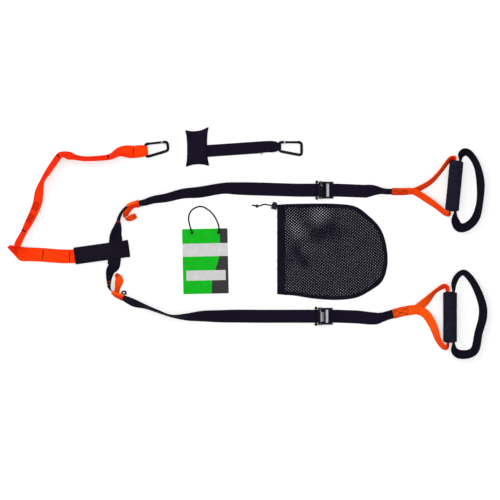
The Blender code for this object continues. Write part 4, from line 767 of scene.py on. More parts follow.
@dataclass(frozen=True)
class ClothFinish(Finish):
    """Plain woven cloth, read from its place in space, with painted shade in the weave's hollows."""

    light: Colour
    dark: Colour
    pitch: float = 0.0007
    roughness: float = 0.85
    gloss: float = 0.03
    dust: float = 0.05

    def paint(self, sketch: Sketch) -> None:
        """Weave the cloth across the layout.

        Args:
            sketch: The material's nodes.
        """
        spot = sketch.place()
        x, y, _ = sketch.parts(spot)
        weave = apply_effect(sketch, Effect.WEAVE, Along=y, Across=x, Pitch=self.pitch,
                             Column=self.pitch * 1.5, Unevenness=0.8)
        # Partly painted shade: the weave's hollows darken towards the dark colour; the broad mottle on top is
        # a random tone.
        shade = sketch.fit(weave["Shade"], 0.5, sketch.times(sketch.mottle(spot, 24.0, 4.0), 0.7))
        colour = sketch.mix(sketch.ramp(shade, 0.25, 0.85), self.dark, self.light)
        lint = apply_effect(sketch, Effect.DUST, Amount=self.dust)["Mask"]
        colour = sketch.mix(lint, colour, toned(self.light, 1.5, 0.05))
        sketch.fill(sketch.shader, Base_Color=colour, Roughness=self.roughness, Specular_IOR_Level=self.gloss)
        sketch.bump(weave["Height"], 0.00012, 0.7)


@dataclass(frozen=True)
class GrainFinish(Finish):
    """Foam or moulded plastic with a pebbled grain."""

    light: Colour
    dark: Colour
    scale: float
    depth: float
    roughness: float
    gloss: float

    def paint(self, sketch: Sketch) -> None:
        """Pebble the surface and rub its edges.

        Args:
            sketch: The material's nodes.
        """
        grain = apply_effect(sketch, Effect.GRAIN, Scale=self.scale, Broad_Share=0.8)
        wear = apply_effect(sketch, Effect.EDGE_WEAR, Start=0.60, End=0.72, Breakup=1.0)
        colour = sketch.mix(sketch.ramp(grain["Mask"], 0.05, 0.45), self.dark, self.light)
        colour = sketch.mix(wear["Mask"], colour, toned(self.light, 1.8, 0.02))
        rough = sketch.fit(grain["Mask"], 0.25, self.roughness - 0.05)
        sketch.fill(sketch.shader, Base_Color=colour, Roughness=rough, Specular_IOR_Level=self.gloss)
        sketch.bump(grain["Height"], self.depth, 0.6)


@dataclass(frozen=True)
class MetalFinish(Finish):
    """Coated or bare metal; a bright metal zone may be given as a box in the model's frame, as for the buckle
    frames' bare bridge and for the painted reflection in the lower lever's cam window.
    """

    colour: Colour
    bare: Colour
    metallic: float
    roughness: float
    gloss: float = 0.5
    zone: tuple[Place, Place] | None = None
    zone_colour: Colour = (0.34, 0.34, 0.36)

    def paint(self, sketch: Sketch) -> None:
        """Coat the metal, rub its edges bare and brighten its zone.

        Args:
            sketch: The material's nodes.
        """
        grain = apply_effect(sketch, Effect.GRAIN, Scale=900.0, Broad_Share=1.0)
        wear = apply_effect(sketch, Effect.EDGE_WEAR, Start=0.60, End=0.74, Breakup=1.1)["Mask"]
        colour = sketch.mix(sketch.ramp(grain["Mask"], 0.0, 0.5), toned(self.colour, 0.8), self.colour)
        colour = sketch.mix(wear, colour, self.bare)
        metallic = sketch.fit(wear, 1.0 - self.metallic, self.metallic)
        rough = sketch.fit(grain["Mask"], 0.2, self.roughness - 0.05)
        if self.zone:
            inside = self.zone_mask(sketch)
            colour = sketch.mix(inside, colour, self.zone_colour)
            metallic = sketch.math("MAXIMUM", metallic, inside)
            rough = sketch.fit(inside, 0.12, rough)
        sketch.fill(sketch.shader, Base_Color=colour, Metallic=metallic, Roughness=rough,
                    Specular_IOR_Level=self.gloss)
        sketch.bump(grain["Height"], 0.00004, 0.4)

    def zone_mask(self, sketch: Sketch) -> Socket:
        """One inside the bright zone and nought outside it.

        Args:
            sketch: The material's nodes.

        Returns:
            The mask.
        """
        inside = 1.0
        for part, low, high in zip(sketch.parts(sketch.place()), *self.zone):
            inside = sketch.times(between(sketch, part, low, high), inside)
        return inside


def between(sketch: Sketch, value: Socket, low: float, high: float) -> Socket:
    """One where a value lies between two others, else nought."""
    return sketch.times(sketch.math("GREATER_THAN", value, low), sketch.math("LESS_THAN", value, high))


@dataclass(frozen=True)
class ThreadFinish(Finish):
    """Twisted sewing thread or braided cord."""

    colour: Colour
    twist: float = 0.0009

    def paint(self, sketch: Sketch) -> None:
        """Twist the thread slantwise over the layout, with painted shade in its grooves.

        Args:
            sketch: The material's nodes.
        """
        x, y, _ = sketch.parts(sketch.place())
        weave = apply_effect(sketch, Effect.WEAVE, Along=sketch.math("ADD", x, y), Pitch=self.twist,
                             Across=sketch.math("SUBTRACT", x, y), Column=self.twist * 2, Unevenness=0.6)
        # Painted shade: the twist's grooves take a darker copy of the thread colour.
        colour = sketch.mix(sketch.ramp(weave["Shade"], 0.1, 0.8), toned(self.colour, 0.55), self.colour)
        sketch.fill(sketch.shader, Base_Color=colour, Roughness=0.8, Specular_IOR_Level=0.03)
        sketch.bump(weave["Height"], 0.0001, 0.6)


# Webbing colours: the yarn, then the painted shade in the weave's hollows, then the painted shade where the
# tape stands on edge.
BLACK_WEBBING = WebbingFinish(
    "black_webbing_weave", "black_webbing",
    (0.0100, 0.0062, 0.0190), (0.0030, 0.0020, 0.0060), (0.0072, 0.0046, 0.0135)
)
ORANGE_WEBBING = WebbingFinish(
    "orange_webbing_weave", "orange_webbing",
    (1.0, 0.058, 0.002), (0.84, 0.018, 0.001), (0.93, 0.018, 0.001), 0.66
)
ORANGE_TAPE = WebbingFinish(
    "orange_tape_weave", "orange_webbing",
    (1.0, 0.125, 0.006), (0.92, 0.040, 0.002), (0.95, 0.034, 0.002), 0.66
)
PILLOW_CLOTH = ClothFinish(
    "pillow_cloth", "black_webbing", (0.0105, 0.0068, 0.0200), (0.0042, 0.0028, 0.0088)
)
SLEEVE_CLOTH = ClothFinish(
    "sleeve_cloth", "black_webbing", (0.0100, 0.0078, 0.0165), (0.0042, 0.0034, 0.0072)
)
HEM_CLOTH = ClothFinish("hem_cloth", "mesh_cloth", (0.0085, 0.0060, 0.0150), (0.0038, 0.0028, 0.0070), 0.0009)
FOAM = GrainFinish(
    "grip_foam_skin", "foam", (0.0160, 0.0132, 0.0270), (0.0088, 0.0074, 0.0155), 1500.0, 0.00016, 0.93, 0.05
)
PLASTIC = GrainFinish(
    "moulded_plastic", "plastic",
    (0.0075, 0.0068, 0.0105), (0.0050, 0.0045, 0.0070), 1100.0, 0.00005, 0.52, 0.10
)
COATED_METAL = MetalFinish(
    "coated_metal", "black_metal", (0.0045, 0.0042, 0.0070), (0.030, 0.030, 0.034), 0.0, 0.46, 0.06
)
LEVER_METAL = MetalFinish(
    "lever_metal", "black_metal", (0.0058, 0.0052, 0.0085), (0.050, 0.050, 0.055), 0.0, 0.44, 0.06
)
# Painted reflection: the lower lever, the same part as the upper, gets a bright metal cam window that the
# upper lever's dark metal lacks.
LEVER_METAL_PAINTED_REFLECTION = replace(
    LEVER_METAL, name="lever_metal_painted_reflection", zone=((0.1986, -0.2170, 0.0), (0.2086, -0.1870, 0.05)),
    zone_colour=(0.30, 0.30, 0.31)
)
STEEL = MetalFinish("plain_steel", "steel", (0.30, 0.30, 0.31), (0.42, 0.42, 0.43), 1.0, 0.38)
BLACK_THREAD = ThreadFinish("black_thread", "black_webbing", (0.0100, 0.0085, 0.0150))
DARK_TACK = ThreadFinish("dark_tack_thread", "black_webbing", (0.024, 0.003, 0.005))
RUST_TACK = ThreadFinish("rust_tack_thread", "orange_webbing", (0.30, 0.030, 0.012))
BRIGHT_TACK = ThreadFinish("bright_tack_thread", "orange_webbing", (0.62, 0.060, 0.020))
BLACK_CORD = ThreadFinish("black_cord", "black_webbing", (0.0110, 0.0095, 0.0150), 0.0012)
EDGE_TAPE = ThreadFinish("edge_tape", "black_webbing", (0.0080, 0.0062, 0.0135), 0.0016)


def linked(name: str, data: bpy.types.ID) -> Piece:
    """Link some data to the scene as an object.

    Args:
        name: The object's name.
        data: Its mesh, curve, lamp or camera.

    Returns:
        The object.
    """
    piece = bpy.data.objects.new(name, data)
    bpy.context.scene.collection.objects.link(piece)
    return piece


def finish_mesh(name: str, bm: Geometry, finish: Finish, smooth: float = 50.0) -> Piece:
    """Turn geometry into a dressed object with smooth shading.

    Args:
        name: The piece's name.
        bm: Its geometry, which is freed.
        finish: What it is dressed in.
        smooth: Edges sharper than this many degrees stay sharp.

    Returns:
        The linked object.
    """
    bmesh.ops.recalc_face_normals(bm, faces=bm.faces)
    data = bpy.data.meshes.new(name)
    bm.to_mesh(data)
    bm.free()
    data.shade_smooth()
    data.set_sharp_from_angle(angle=math.radians(smooth))
    return link_piece(name, data, finish)


def link_piece(name: str, data: bpy.types.ID, finish: Finish) -> Piece:
    """Link a mesh or curve as a dressed object.

    Args:
        name: The piece's name.
        data: Its mesh or curve.
        finish: What it is dressed in.

    Returns:
        The object.
    """
    piece = linked(name, data)
    data.materials.append(finish.build())
    return piece


def ride(piece: Piece, *nodes: str, body: str = STRAPS) -> Piece:
    """Let a piece ride on a body and stand for CAD nodes.

    Args:
        piece: The piece.
        nodes: The CAD nodes that it stands for.
        body: The body that carries it.

    Returns:
        The piece.
    """
    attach(piece, body)
    if nodes:
        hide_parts(*nodes)
    LOG.info("%s rides on %s", piece.name, body)
    return piece


def dress(node: str, finish: Finish, bevel: float = 0.0) -> None:
    """Give a CAD node a finish, and soften its edges.

    Args:
        node: The node's name.
        finish: What it is dressed in.
        bevel: How wide its edges are softened, or nought.
    """
    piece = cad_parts[node]
    material = finish.build()
    if not piece.material_slots:
        piece.data.materials.append(material)
    for entry in piece.material_slots:
        entry.material = material
    if bevel:
        rounding = piece.modifiers.new("softened_edges", "BEVEL")
        rounding.width = bevel
        rounding.segments = 2
        rounding.limit_method = "ANGLE"
        rounding.angle_limit = math.radians(35.0)
    LOG.info("%s keeps its CAD shape in %s", node, finish.name)


def skin(bm: Geometry, rows: list[list], around: bool = True, closed: bool = False) -> None:
    """Add the faces between neighbouring rows of corners.

    Args:
        bm: The geometry.
        rows: Rows of corners, all of one length.
        around: Whether each row runs on into its own start.
        closed: Whether the last row runs on into the first.
    """
    for one, two in zip(rows, rows[1:] + rows[:1] if closed else rows[1:]):
        for k in range(len(one) if around else len(one) - 1):
            m = (k + 1) % len(one)
            bm.faces.new((one[k], one[m], two[m], two[k]))


def ring_of(centre: Vector, side: Vector, other: Vector, radius: float, sides: int) -> list[Vector]:
    """Points of a circle.

    Args:
        centre: Its middle.
        side: The way to its first point.
        other: The way to the point a quarter of a turn on.
        radius: Its radius.
        sides: How many points it has.

    Returns:
        The points.
    """
    turns = [math.tau * k / sides for k in range(sides)]
    return [centre + (side * math.cos(turn) + other * math.sin(turn)) * radius for turn in turns]


def side_of(axis: Vector) -> Vector:
    """A way square to an axis, level where it can be."""
    return axis.cross(UP if abs(axis.z) < 0.9 else ACROSS_Y).normalized()


def knit(bm: Geometry, corners: tuple, across: Spot, along: Spot) -> None:
    """Add a face with its place on the tape.

    Args:
        bm: The geometry.
        corners: The face's four corners.
        across: Where it starts and ends across the tape.
        along: Where it starts and ends along the tape.
    """
    layer = bm.loops.layers.uv.get("tape") or bm.loops.layers.uv.new("tape")
    spots = ((across[0], along[0]), (across[1], along[0]), (across[1], along[1]), (across[0], along[1]))
    for loop, spot in zip(bm.faces.new(corners).loops, spots):
        loop[layer].uv = spot


def tape_profile(width: float, thickness: float, columns: int) -> list[Place]:
    """The section of a tape, with rounded edges and firmer selvedges.

    Args:
        width: Across the tape.
        thickness: Through its selvedge.
        columns: Faces across each side.

    Returns:
        Points as (across, out, place across the tape), round the section.
    """
    half = thickness / 2
    flat = max(width / 2 - half, width * 0.3)
    points = []
    for face in (1, -1):
        for i in range(columns + 1):
            share = 1 - 2 * i / columns
            across = flat * share * face
            selvedge = clamp((abs(share) - 0.72) / 0.16)
            points.append((across, face * half * (0.84 + 0.16 * selvedge), across))
        for angle in (45.0, 90.0, 135.0):
            turn = math.radians(angle)
            across = -face * (flat + half * math.sin(turn))
            points.append((across, face * half * math.cos(turn), across))
    return points


def tape(
    name: str, sections: Route, finish: Finish, closed: bool = False,
    thickness: float = WEB_THICKNESS, columns: int = 8,
) -> Piece:
    """A piece of webbing with rounded edges, with its place on the tape as UV.

    Args:
        name: The piece's name.
        sections: The webbing's sections in order.
        finish: What it is dressed in.
        closed: Whether it is a loop.
        thickness: Through the webbing.
        columns: Faces across each side.

    Returns:
        The piece.
    """
    bm = bmesh.new()
    lengths = lengths_along(sections)
    lengths.append(lengths[-1] + (sections[0].middle - sections[-1].middle).length)
    rings = []
    for section in sections:
        shape = tape_profile(section.width, thickness, columns)
        rings.append([bm.verts.new(section.point(across, out)) for across, out, _ in shape])
    places = [spot[2] for spot in tape_profile(sections[0].width, thickness, columns)]
    for i in range(len(rings) if closed else len(rings) - 1):
        one = rings[i]
        two = rings[(i + 1) % len(rings)]
        for k, place in enumerate(places):
            m = (k + 1) % len(places)
            knit(bm, (one[k], one[m], two[m], two[k]), (place, places[m]), lengths[i:i + 2])
    if not closed:
        bm.faces.new(rings[0])
        bm.faces.new(rings[-1][::-1])
    return finish_mesh(name, bm, finish)


def bar_mesh(
    points: list[Vector], radius: float, sides: int = 12, closed: bool = False, bm: Geometry | None = None
) -> Geometry:
    """A round bar along points, with domed ends where it isn't closed.

    Args:
        points: The bar's centreline.
        radius: Its radius.
        sides: Faces round it.
        closed: Whether the last point runs on into the first.
        bm: Geometry to add to, if not new.

    Returns:
        The geometry.
    """
    bm = bm or bmesh.new()
    radii = [radius] * len(points)
    if not closed:
        dome = radius * 0.45
        first = points[0] + (points[0] - points[1]).normalized() * dome
        last = points[-1] + (points[-1] - points[-2]).normalized() * dome
        points = [first, *points, last]
        radii = [radius * 0.62, *radii, radius * 0.62]
    rings = []
    side = None
    for i, point in enumerate(points):
        before, after = neighbours(points, i, closed)
        along = (after - before).normalized()
        if side is None:
            side = side_of(along)
        side = (side - along * side.dot(along)).normalized()
        ring = ring_of(point, side, along.cross(side), radii[i], sides)
        rings.append([bm.verts.new(corner) for corner in ring])
    skin(bm, rings, closed=closed)
    if not closed:
        bm.faces.new(rings[0])
        bm.faces.new(rings[-1][::-1])
    return bm


def soften(points: list[Vector], reach: float, steps: int = 12) -> list[Vector]:
    """Points along straight runs whose inner corners are rounded.

    Args:
        points: The corners of the runs.
        reach: How far from each corner its rounding starts.
        steps: How finely it is made.

    Returns:
        The finer points.
    """
    result = [points[0]]
    for before, corner, after in zip(points, points[1:], points[2:]):
        start = corner + (before - corner).normalized() * reach
        end = corner + (after - corner).normalized() * reach
        for i in range(steps + 1):
            t = i / steps
            result.append(start * (1 - t) ** 2 + corner * 2 * t * (1 - t) + end * t * t)
    return result + [points[-1]]


@dataclass
class Stitcher:
    """Sews threads onto tapes and gathers them in one piece."""

    name: str
    finish: ThreadFinish
    body: str = STRAPS
    thread: float = 0.00034
    stitch: float = 0.0034
    gap: float = 0.0012
    zigzag: float = 0.0007

    def __post_init__(self) -> None:
        """Start with no thread."""
        self.bm = bmesh.new()

    def run(self, points: list[Vector], normals: list[Vector]) -> None:
        """Sew a row of stitches along a line of surface points.

        Args:
            points: The line on the surface.
            normals: The way out of the surface at each point.
        """
        marks = marks_along(points)
        step = self.stitch + self.gap
        count = int(marks[-1] / step)
        for k in range(count):
            start = (marks[-1] - count * step) / 2 + k * step + self.gap / 2
            line = []
            for share, lift in ((0.0, -0.6), (0.2, 0.7), (0.8, 0.7), (1.0, -0.6)):
                i, t = span_at(marks, start + self.stitch * share)
                out = normals[i].lerp(normals[i + 1], t).normalized()
                line.append(points[i].lerp(points[i + 1], t) + out * self.thread * lift)
            bar_mesh(line, self.thread, 5, bm=self.bm)

    def line(self, sections: Route, one: Spot, two: Spot, lift: float, steps: int = 8) -> None:
        """Sew a straight line on a tape.

        Args:
            sections: The tape.
            one: Where it starts, as a length along the tape and a share of its half width.
            two: Where it ends.
            lift: From the tape's middle to its face.
            steps: How finely the tape is followed.
        """
        points = []
        normals = []
        for i in range(steps + 1):
            t = i / steps
            held = section_at(sections, one[0] + (two[0] - one[0]) * t)
            share = one[1] + (two[1] - one[1]) * t
            points.append(held.point(share * held.width / 2, lift))
            normals.append(held.out)
        self.run(points, normals)

    def box_cross(self, sections: Route, start: float, end: float, lift: float, inset: float) -> None:
        """Sew a box with a cross in it.

        Args:
            sections: The tape.
            start: Where along it the box starts.
            end: Where it ends.
            lift: From the tape's middle to its face.
            inset: How much of the half width the box takes.
        """
        box = ((start, -inset), (end, -inset), (end, inset), (start, inset))
        for one, two in (*zip(box, box[1:] + box[:1]), (box[0], box[2]), (box[1], box[3])):
            self.line(sections, one, two, lift)

    def tack(self, sections: Route, length: float, lift: float, reach: float, rise: float) -> None:
        """Sew a bar tack across a tape: a dense zigzag.

        Args:
            sections: The tape.
            length: Where along it.
            lift: From the tape's middle to its face.
            reach: How much of the width the tack takes.
            rise: Half of the zigzag's swing along the tape.
        """
        middle = section_at(sections, length)
        along = middle.across.cross(middle.out).normalized()
        span = middle.width * reach
        turns = max(int(span / self.zigzag), 6)
        points = []
        for i in range(turns + 1):
            spot = middle.point(span * (i / turns - 0.5), lift + self.thread * 0.5)
            points.append(spot + along * (rise if i % 2 else -rise))
        bar_mesh(points, self.thread, 5, bm=self.bm)

    def done(self) -> Piece:
        """Turn the thread into one piece that rides on its body."""
        return ride(finish_mesh(self.name, self.bm, self.finish, 80.0), body=self.body)


@dataclass
class Carabiner:
    """Pear-shaped snap hook: bent bar, tongue, forked gate and its rivet."""

    side: str
    x: float
    y: float
    turn: float
    narrow_in_loop: bool
    eye_share: float
    pinch: float
    length: float = 0.062
    bar: float = 0.0078
    wide_share: float = 0.58
    narrow_share: float = 0.39
    pivot_share: float = 0.75
    nose_share: float = 0.19
    corner: float = 0.0085
    gate_radius: float = 0.0032
    gate_boss: float = 0.0034
    gate_gap: float = 0.0008
    gate_height: float = 0.0058
    fork_length: float = 0.0044
    tongue_thickness: float = 0.0024
    tongue_width: float = 0.0050
    tongue_reach: float = 0.0026
    eye_run: float = 0.034
    eye_lift: float = 0.0108
    eye_gather: tuple[Spot, ...] = ((0.0, 0.20), (0.15, 0.66), (0.34, 0.88), (0.62, 1.0), (1.0, 1.0))

    def eye_rows(self, far_share: float) -> list[list[float]]:
        """The stops of a doubled strap nearest to the bar, where it is gathered.

        Args:
            far_share: The strap's width share beyond them.

        Returns:
            Flat stops, from the bar on.
        """
        direction = spun(self.turn, Vector((1.0, 0.0, 0.0)))
        rows = []
        for back, part in self.eye_gather:
            share = self.eye_share + (far_share - self.eye_share) * part
            rows.append(flat_row(at(self.x, self.y) - direction * self.eye_run * back, 0.0, share))
        return rows

    def eye_rise(self, length: float) -> float:
        """How far the upper layer stands over the lower one, a length away from the bar."""
        share = min(length / self.eye_run, 1.0)
        return LAYER + (self.eye_lift - LAYER) * (1.0 + math.cos(math.pi * share)) / 2

    def eye_turn(self, last: Section) -> Route:
        """The webbing's turn round the bar, after the last section of its upper layer."""
        return half_turn(last, self.eye_lift / 2, self.pinch)

    def build(self) -> None:
        """Make the bar and the gate over their CAD solids and dress the rivet."""
        half = self.length * self.wide_share / 2
        narrow = self.length * self.narrow_share
        offset = half - narrow / 2 if self.narrow_in_loop else 0.0
        place = Matrix.Translation(at(self.x, self.y, (WEB_THICKNESS + self.eye_lift) / 2))
        place = place @ Matrix.Rotation(math.radians(self.turn), 4, "Z")

        def local(x: float, y: float) -> Vector:
            """A corner of the bar in the carabiner's own frame."""
            return Vector((self.length - x if self.narrow_in_loop else x, y - offset, 0.0))

        pivot = self.length * self.pivot_share
        nose = self.length * self.nose_share
        shoulder = pivot + self.gate_radius + self.gate_gap
        corners = [
            (shoulder, half), (self.length, half), (self.length, half - narrow),
            (0.0, -half), (0.0, half), (nose - self.gate_gap, half),
        ]
        bm = bar_mesh(soften([local(*corner) for corner in corners], self.corner), self.bar / 2, 24)
        self.tongue(bm, local(pivot - self.tongue_reach, half), local(shoulder + self.tongue_width, half))
        bm.transform(place)
        bar = finish_mesh(f"{self.side}_carabiner_bar", bm, COATED_METAL)
        ride(bar, f"{self.side}_carabiner_body", body=f"{self.side}_carabiner")

        toward = 1.0 if self.narrow_in_loop else -1.0
        centre = local(pivot, half)
        tip = centre + Vector((toward * (pivot - nose), 0.0, 0.0))
        neck = centre + Vector((toward * (self.fork_length + self.gate_radius * 0.4), 0.0, 0.0))
        bm = bar_mesh([neck, neck.lerp(tip, 0.5), tip], self.gate_radius, 24)
        inner = self.tongue_thickness / 2 + SEAT_GAP
        for levels in ((inner, self.gate_height / 2), (-self.gate_height / 2, -inner)):
            self.cheek(bm, centre, neck, toward, levels)
        bm.transform(place)
        gate = finish_mesh(f"{self.side}_gate", bm, COATED_METAL)
        ride(gate, f"{self.side}_carabiner_gate", body=f"{self.side}_gate")
        dress(f"{self.side}_gate_rivet", STEEL, 0.00015)

    def tongue(self, bm: Geometry, one: Vector, two: Vector) -> None:
        """Add the bar's flat tongue between the gate's cheeks.

        Args:
            bm: The geometry.
            one: The middle of one of its ends.
            two: The middle of the other.
        """
        made = bmesh.ops.create_cube(bm, size=1.0)["verts"]
        size = Vector((abs(two.x - one.x), self.tongue_width, self.tongue_thickness))
        bmesh.ops.scale(bm, vec=size, verts=made)
        bmesh.ops.translate(bm, vec=(one + two) / 2, verts=made)

    def cheek(self, bm: Geometry, centre: Vector, neck: Vector, toward: float, levels: Spot) -> None:
        """Add one rounded cheek of the gate's fork.

        Args:
            bm: The geometry.
            centre: The middle of the gate's pivot.
            neck: Where the cheek meets the gate's rod.
            toward: Which way along the bar the gate reaches.
            levels: The heights of the cheek's two faces.
        """
        outline = []
        for i in range(13):
            angle = math.radians(90.0 + 180.0 * i / 12)
            outline.append(centre + Vector((toward * math.cos(angle), math.sin(angle), 0.0)) * self.gate_boss)
        back = neck.x + toward * self.gate_radius * 0.6
        for side in (-0.9, 0.9):
            outline.append(Vector((back, centre.y + side * self.gate_radius, 0.0)))
        rings = [[bm.verts.new(point + UP * level) for point in outline] for level in levels]
        skin(bm, rings)
        bm.faces.new(rings[0])
        bm.faces.new(rings[1][::-1])


@dataclass
class Sleeve:
    """The padded anchor sleeve: two panels sewn along their long edges, open where straps pass."""

    length: float = 0.150
    width: float = 0.047
    wall: float = 0.0022
    turn: float = 8.0
    x: float = -0.4076875
    y: float = -0.0281875
    crossing: float = 0.037
    turn_point: float = 0.063
    opening: float = 0.0215
    lip_rise: float = 0.0026
    lip_fade: float = 0.006
    closing: float = 0.010
    end_tape: float = 0.0075
    steps: int = 90
    columns: int = 22

    def point(self, along: float, across: float = 0.0, height: float = 0.0) -> Vector:
        """A point in the sleeve's own directions."""
        return at(self.x, self.y) + spun(self.turn, Vector((along, across, height)))

    def height(self) -> float:
        """From the floor to the top of the sleeve."""
        return 2 * self.wall + 3 * LAYER + SEAT_GAP

    def lip(self, along: float) -> float:
        """How far the sewn edge opens for the crossing strap."""
        reach = abs(along - self.crossing) - self.opening
        return self.lip_rise * (1.0 - clamp(reach / self.lip_fade))

    def shell(self, bm: Geometry, face: int, depth: float) -> list[list]:
        """Add the corners of a panel's outer or inner face.

        Args:
            bm: The geometry.
            face: One for the upper panel, minus one for the lower.
            depth: How deep in the panel the face lies.

        Returns:
            Rows of corners, one for each step along the sleeve.
        """
        middle = self.height() / 2
        grid = []
        for i in range(self.steps + 1):
            along = self.length * (i / self.steps - 0.5)
            shut = (1.0 - (1.0 - clamp((self.length / 2 - along) / self.closing)) ** 2.6) ** 0.5
            edge = self.lip(along)
            row = []
            for j in range(self.columns + 1):
                share = math.sin(math.pi / 2 * (2 * j / self.columns - 1))
                rise = (1.0 - abs(share) ** 5) ** 0.4 if abs(share) < 1 else 0.0
                full = middle - edge - (depth if rise else 0.0)
                ripple = 0.00035 * noise.noise(Vector((along * 70, share * 2.0, face * 9.0)))
                offset = edge + max(full, 0.0) * rise * shut + ripple * rise
                span = self.width / 2 - (depth if 0 < rise < 1 else 0.0) * abs(share)
                row.append(bm.verts.new(self.point(along, share * span, middle + face * offset)))
            grid.append(row)
        return grid

    def panel(self, bm: Geometry, face: int) -> None:
        """Add the upper or the lower padded panel as a closed shell.

        Args:
            bm: The geometry.
            face: One for the upper panel, minus one for the lower.
        """
        outer = self.shell(bm, face, 0.0)
        inner = self.shell(bm, face, self.wall - SEAT_GAP)
        skin(bm, outer, around=False)
        skin(bm, inner, around=False)
        for k in (0, -1):
            skin(bm, [[row[k] for row in outer], [row[k] for row in inner]], around=False)
            skin(bm, [outer[k], inner[k]], around=False)

    def build(self) -> None:
        """Make the panels, the end tape and the stitching."""
        bm = bmesh.new()
        for face in (1, -1):
            self.panel(bm, face)
        bmesh.ops.remove_doubles(bm, verts=bm.verts, dist=0.00002)
        cover = ride(finish_mesh("anchor_sleeve_cover", bm, SLEEVE_CLOTH, 60.0), "anchor_sleeve")
        end = self.length / 2
        middle = self.height() / 2
        lengthwise = self.point(1.0) - self.point(0.0)
        sections = []
        for i in range(13):
            share = i / 12 - 0.5
            squeeze = 0.0007 - 0.0028 * abs(2 * share) ** 6
            spot = self.point(end - self.end_tape / 2 + 0.0006, (self.width + 0.0012) * share, middle)
            sections.append(Section(spot, lengthwise, UP, self.end_tape + squeeze))
        ride(tape("sleeve_end_tape", sections, BLACK_WEBBING, thickness=0.0046, columns=6))
        sewing = Stitcher("sleeve_stitching", BLACK_THREAD)
        top = self.height()
        inset = 0.0045
        for side in (-1, 1):
            across = side * (self.width / 2 - inset)
            marks = [-end + 0.004 + (self.length - 0.016) * i / 40 for i in range(41)]
            sewing.run([self.point(along, across, top - 0.0006) for along in marks], [UP] * 41)
        for along in (-end + 0.004, -end + 0.010):
            marks = [(self.width - 2 * inset) * (i / 12 - 0.5) for i in range(13)]
            sewing.run([self.point(along, across, top + 0.0001) for across in marks], [UP] * 13)
        sewing.done()


@dataclass
class AnchorStrap:
    """The long orange strap, laid double from the carabiner to the sleeve."""

    carabiner: Carabiner
    sleeve: Sleeve
    width: float = 0.038
    fold_tip: Spot = (-0.6675, -0.0145)
    fold_heel: Spot = (-0.6350, -0.0500)
    tack_thread: float = 0.0006
    tacks: tuple[Spot, ...] = (
        (133.3, 150.5), (109.0, 158.0), (60.0, 157.6), (24.8, 231.0), (42.9, 254.6), (70.3, 256.8),
    )
    boxes: tuple[Place, ...] = ((34.6, 206.5, 0.010), (31.0, 218.5, 0.012))

    def fold(self, above: Section, beyond: Section) -> Route:
        """The pointed fold where the hanging run turns over and lies down.

        Args:
            above: The last section of the run that comes down.
            beyond: The first section of the run that lies flat.

        Returns:
            The sections between, with the fold's slanting edge among them.
        """
        tip = at(*self.fold_tip)
        heel = at(*self.fold_heel)
        level = beyond.middle.z
        edge = Section((tip + heel) / 2 + UP * level, (tip - heel).normalized(), UP, (tip - heel).length)
        sections = []
        for one, two, steps, count in ((above, edge, 9, 9), (edge, beyond, 5, 4)):
            for i in range(1, count + 1):
                t = i / steps
                across = one.across.lerp(two.across, t).normalized()
                out = one.out.lerp(two.out, t)
                out = (out - across * out.dot(across)).normalized()
                width = one.width + (two.width - one.width) * t
                middle = one.middle.lerp(two.middle, t)
                middle.z = level + abs(across.z) * width / 2
                sections.append(Section(middle, across, out, width))
        return sections

    def layers(self) -> tuple[Route, Route]:
        """Sections of the strap's two layers.

        Returns:
            The lower layer and the upper layer, both from the carabiner to the sleeve.
        """
        drop = route(self.carabiner.eye_rows(0.9) + placed(EXTENDER_STOPS), self.width)
        rows = placed(FOLD_STOPS)
        inside = self.sleeve.wall + SEAT_GAP
        half = self.sleeve.length / 2
        for along in (-half - self.sleeve.wall, -half / 2, 0.0, self.sleeve.crossing, self.sleeve.turn_point):
            rows.append(flat_row(self.sleeve.point(along), inside))
        run = route(rows, self.width)
        lower = drop + self.fold(drop[-1], run[0]) + run
        lengths = lengths_along(lower)
        opening = lengths[-1] - self.sleeve.length
        upper = []
        for section, length in zip(lower, lengths):
            opened = clamp((length - opening) / half)
            upper.append(section.moved(self.carabiner.eye_rise(length) + LAYER * opened))
        return lower, upper

    def build(self) -> None:
        """Make the doubled strap and its bar tacks."""
        lower, upper = self.layers()
        back = [section.turned_over() for section in reversed(upper)]
        whole = back + self.carabiner.eye_turn(back[-1]) + lower + half_turn(lower[-1], LAYER)
        ride(tape("anchor_strap_webbing", whole, ORANGE_WEBBING, closed=True), "extender_strap")
        sewing = Stitcher("anchor_strap_tacks", DARK_TACK, thread=self.tack_thread)
        for spot in self.tacks:
            sewing.tack(upper, nearest_length(upper, seen_at(*spot)), FACE, 0.72, 0.0013)
        for column, row, reach in self.boxes:
            middle = nearest_length(upper, seen_at(column, row))
            sewing.box_cross(upper, middle - reach, middle + reach, FACE, 0.55)
        sewing.done()


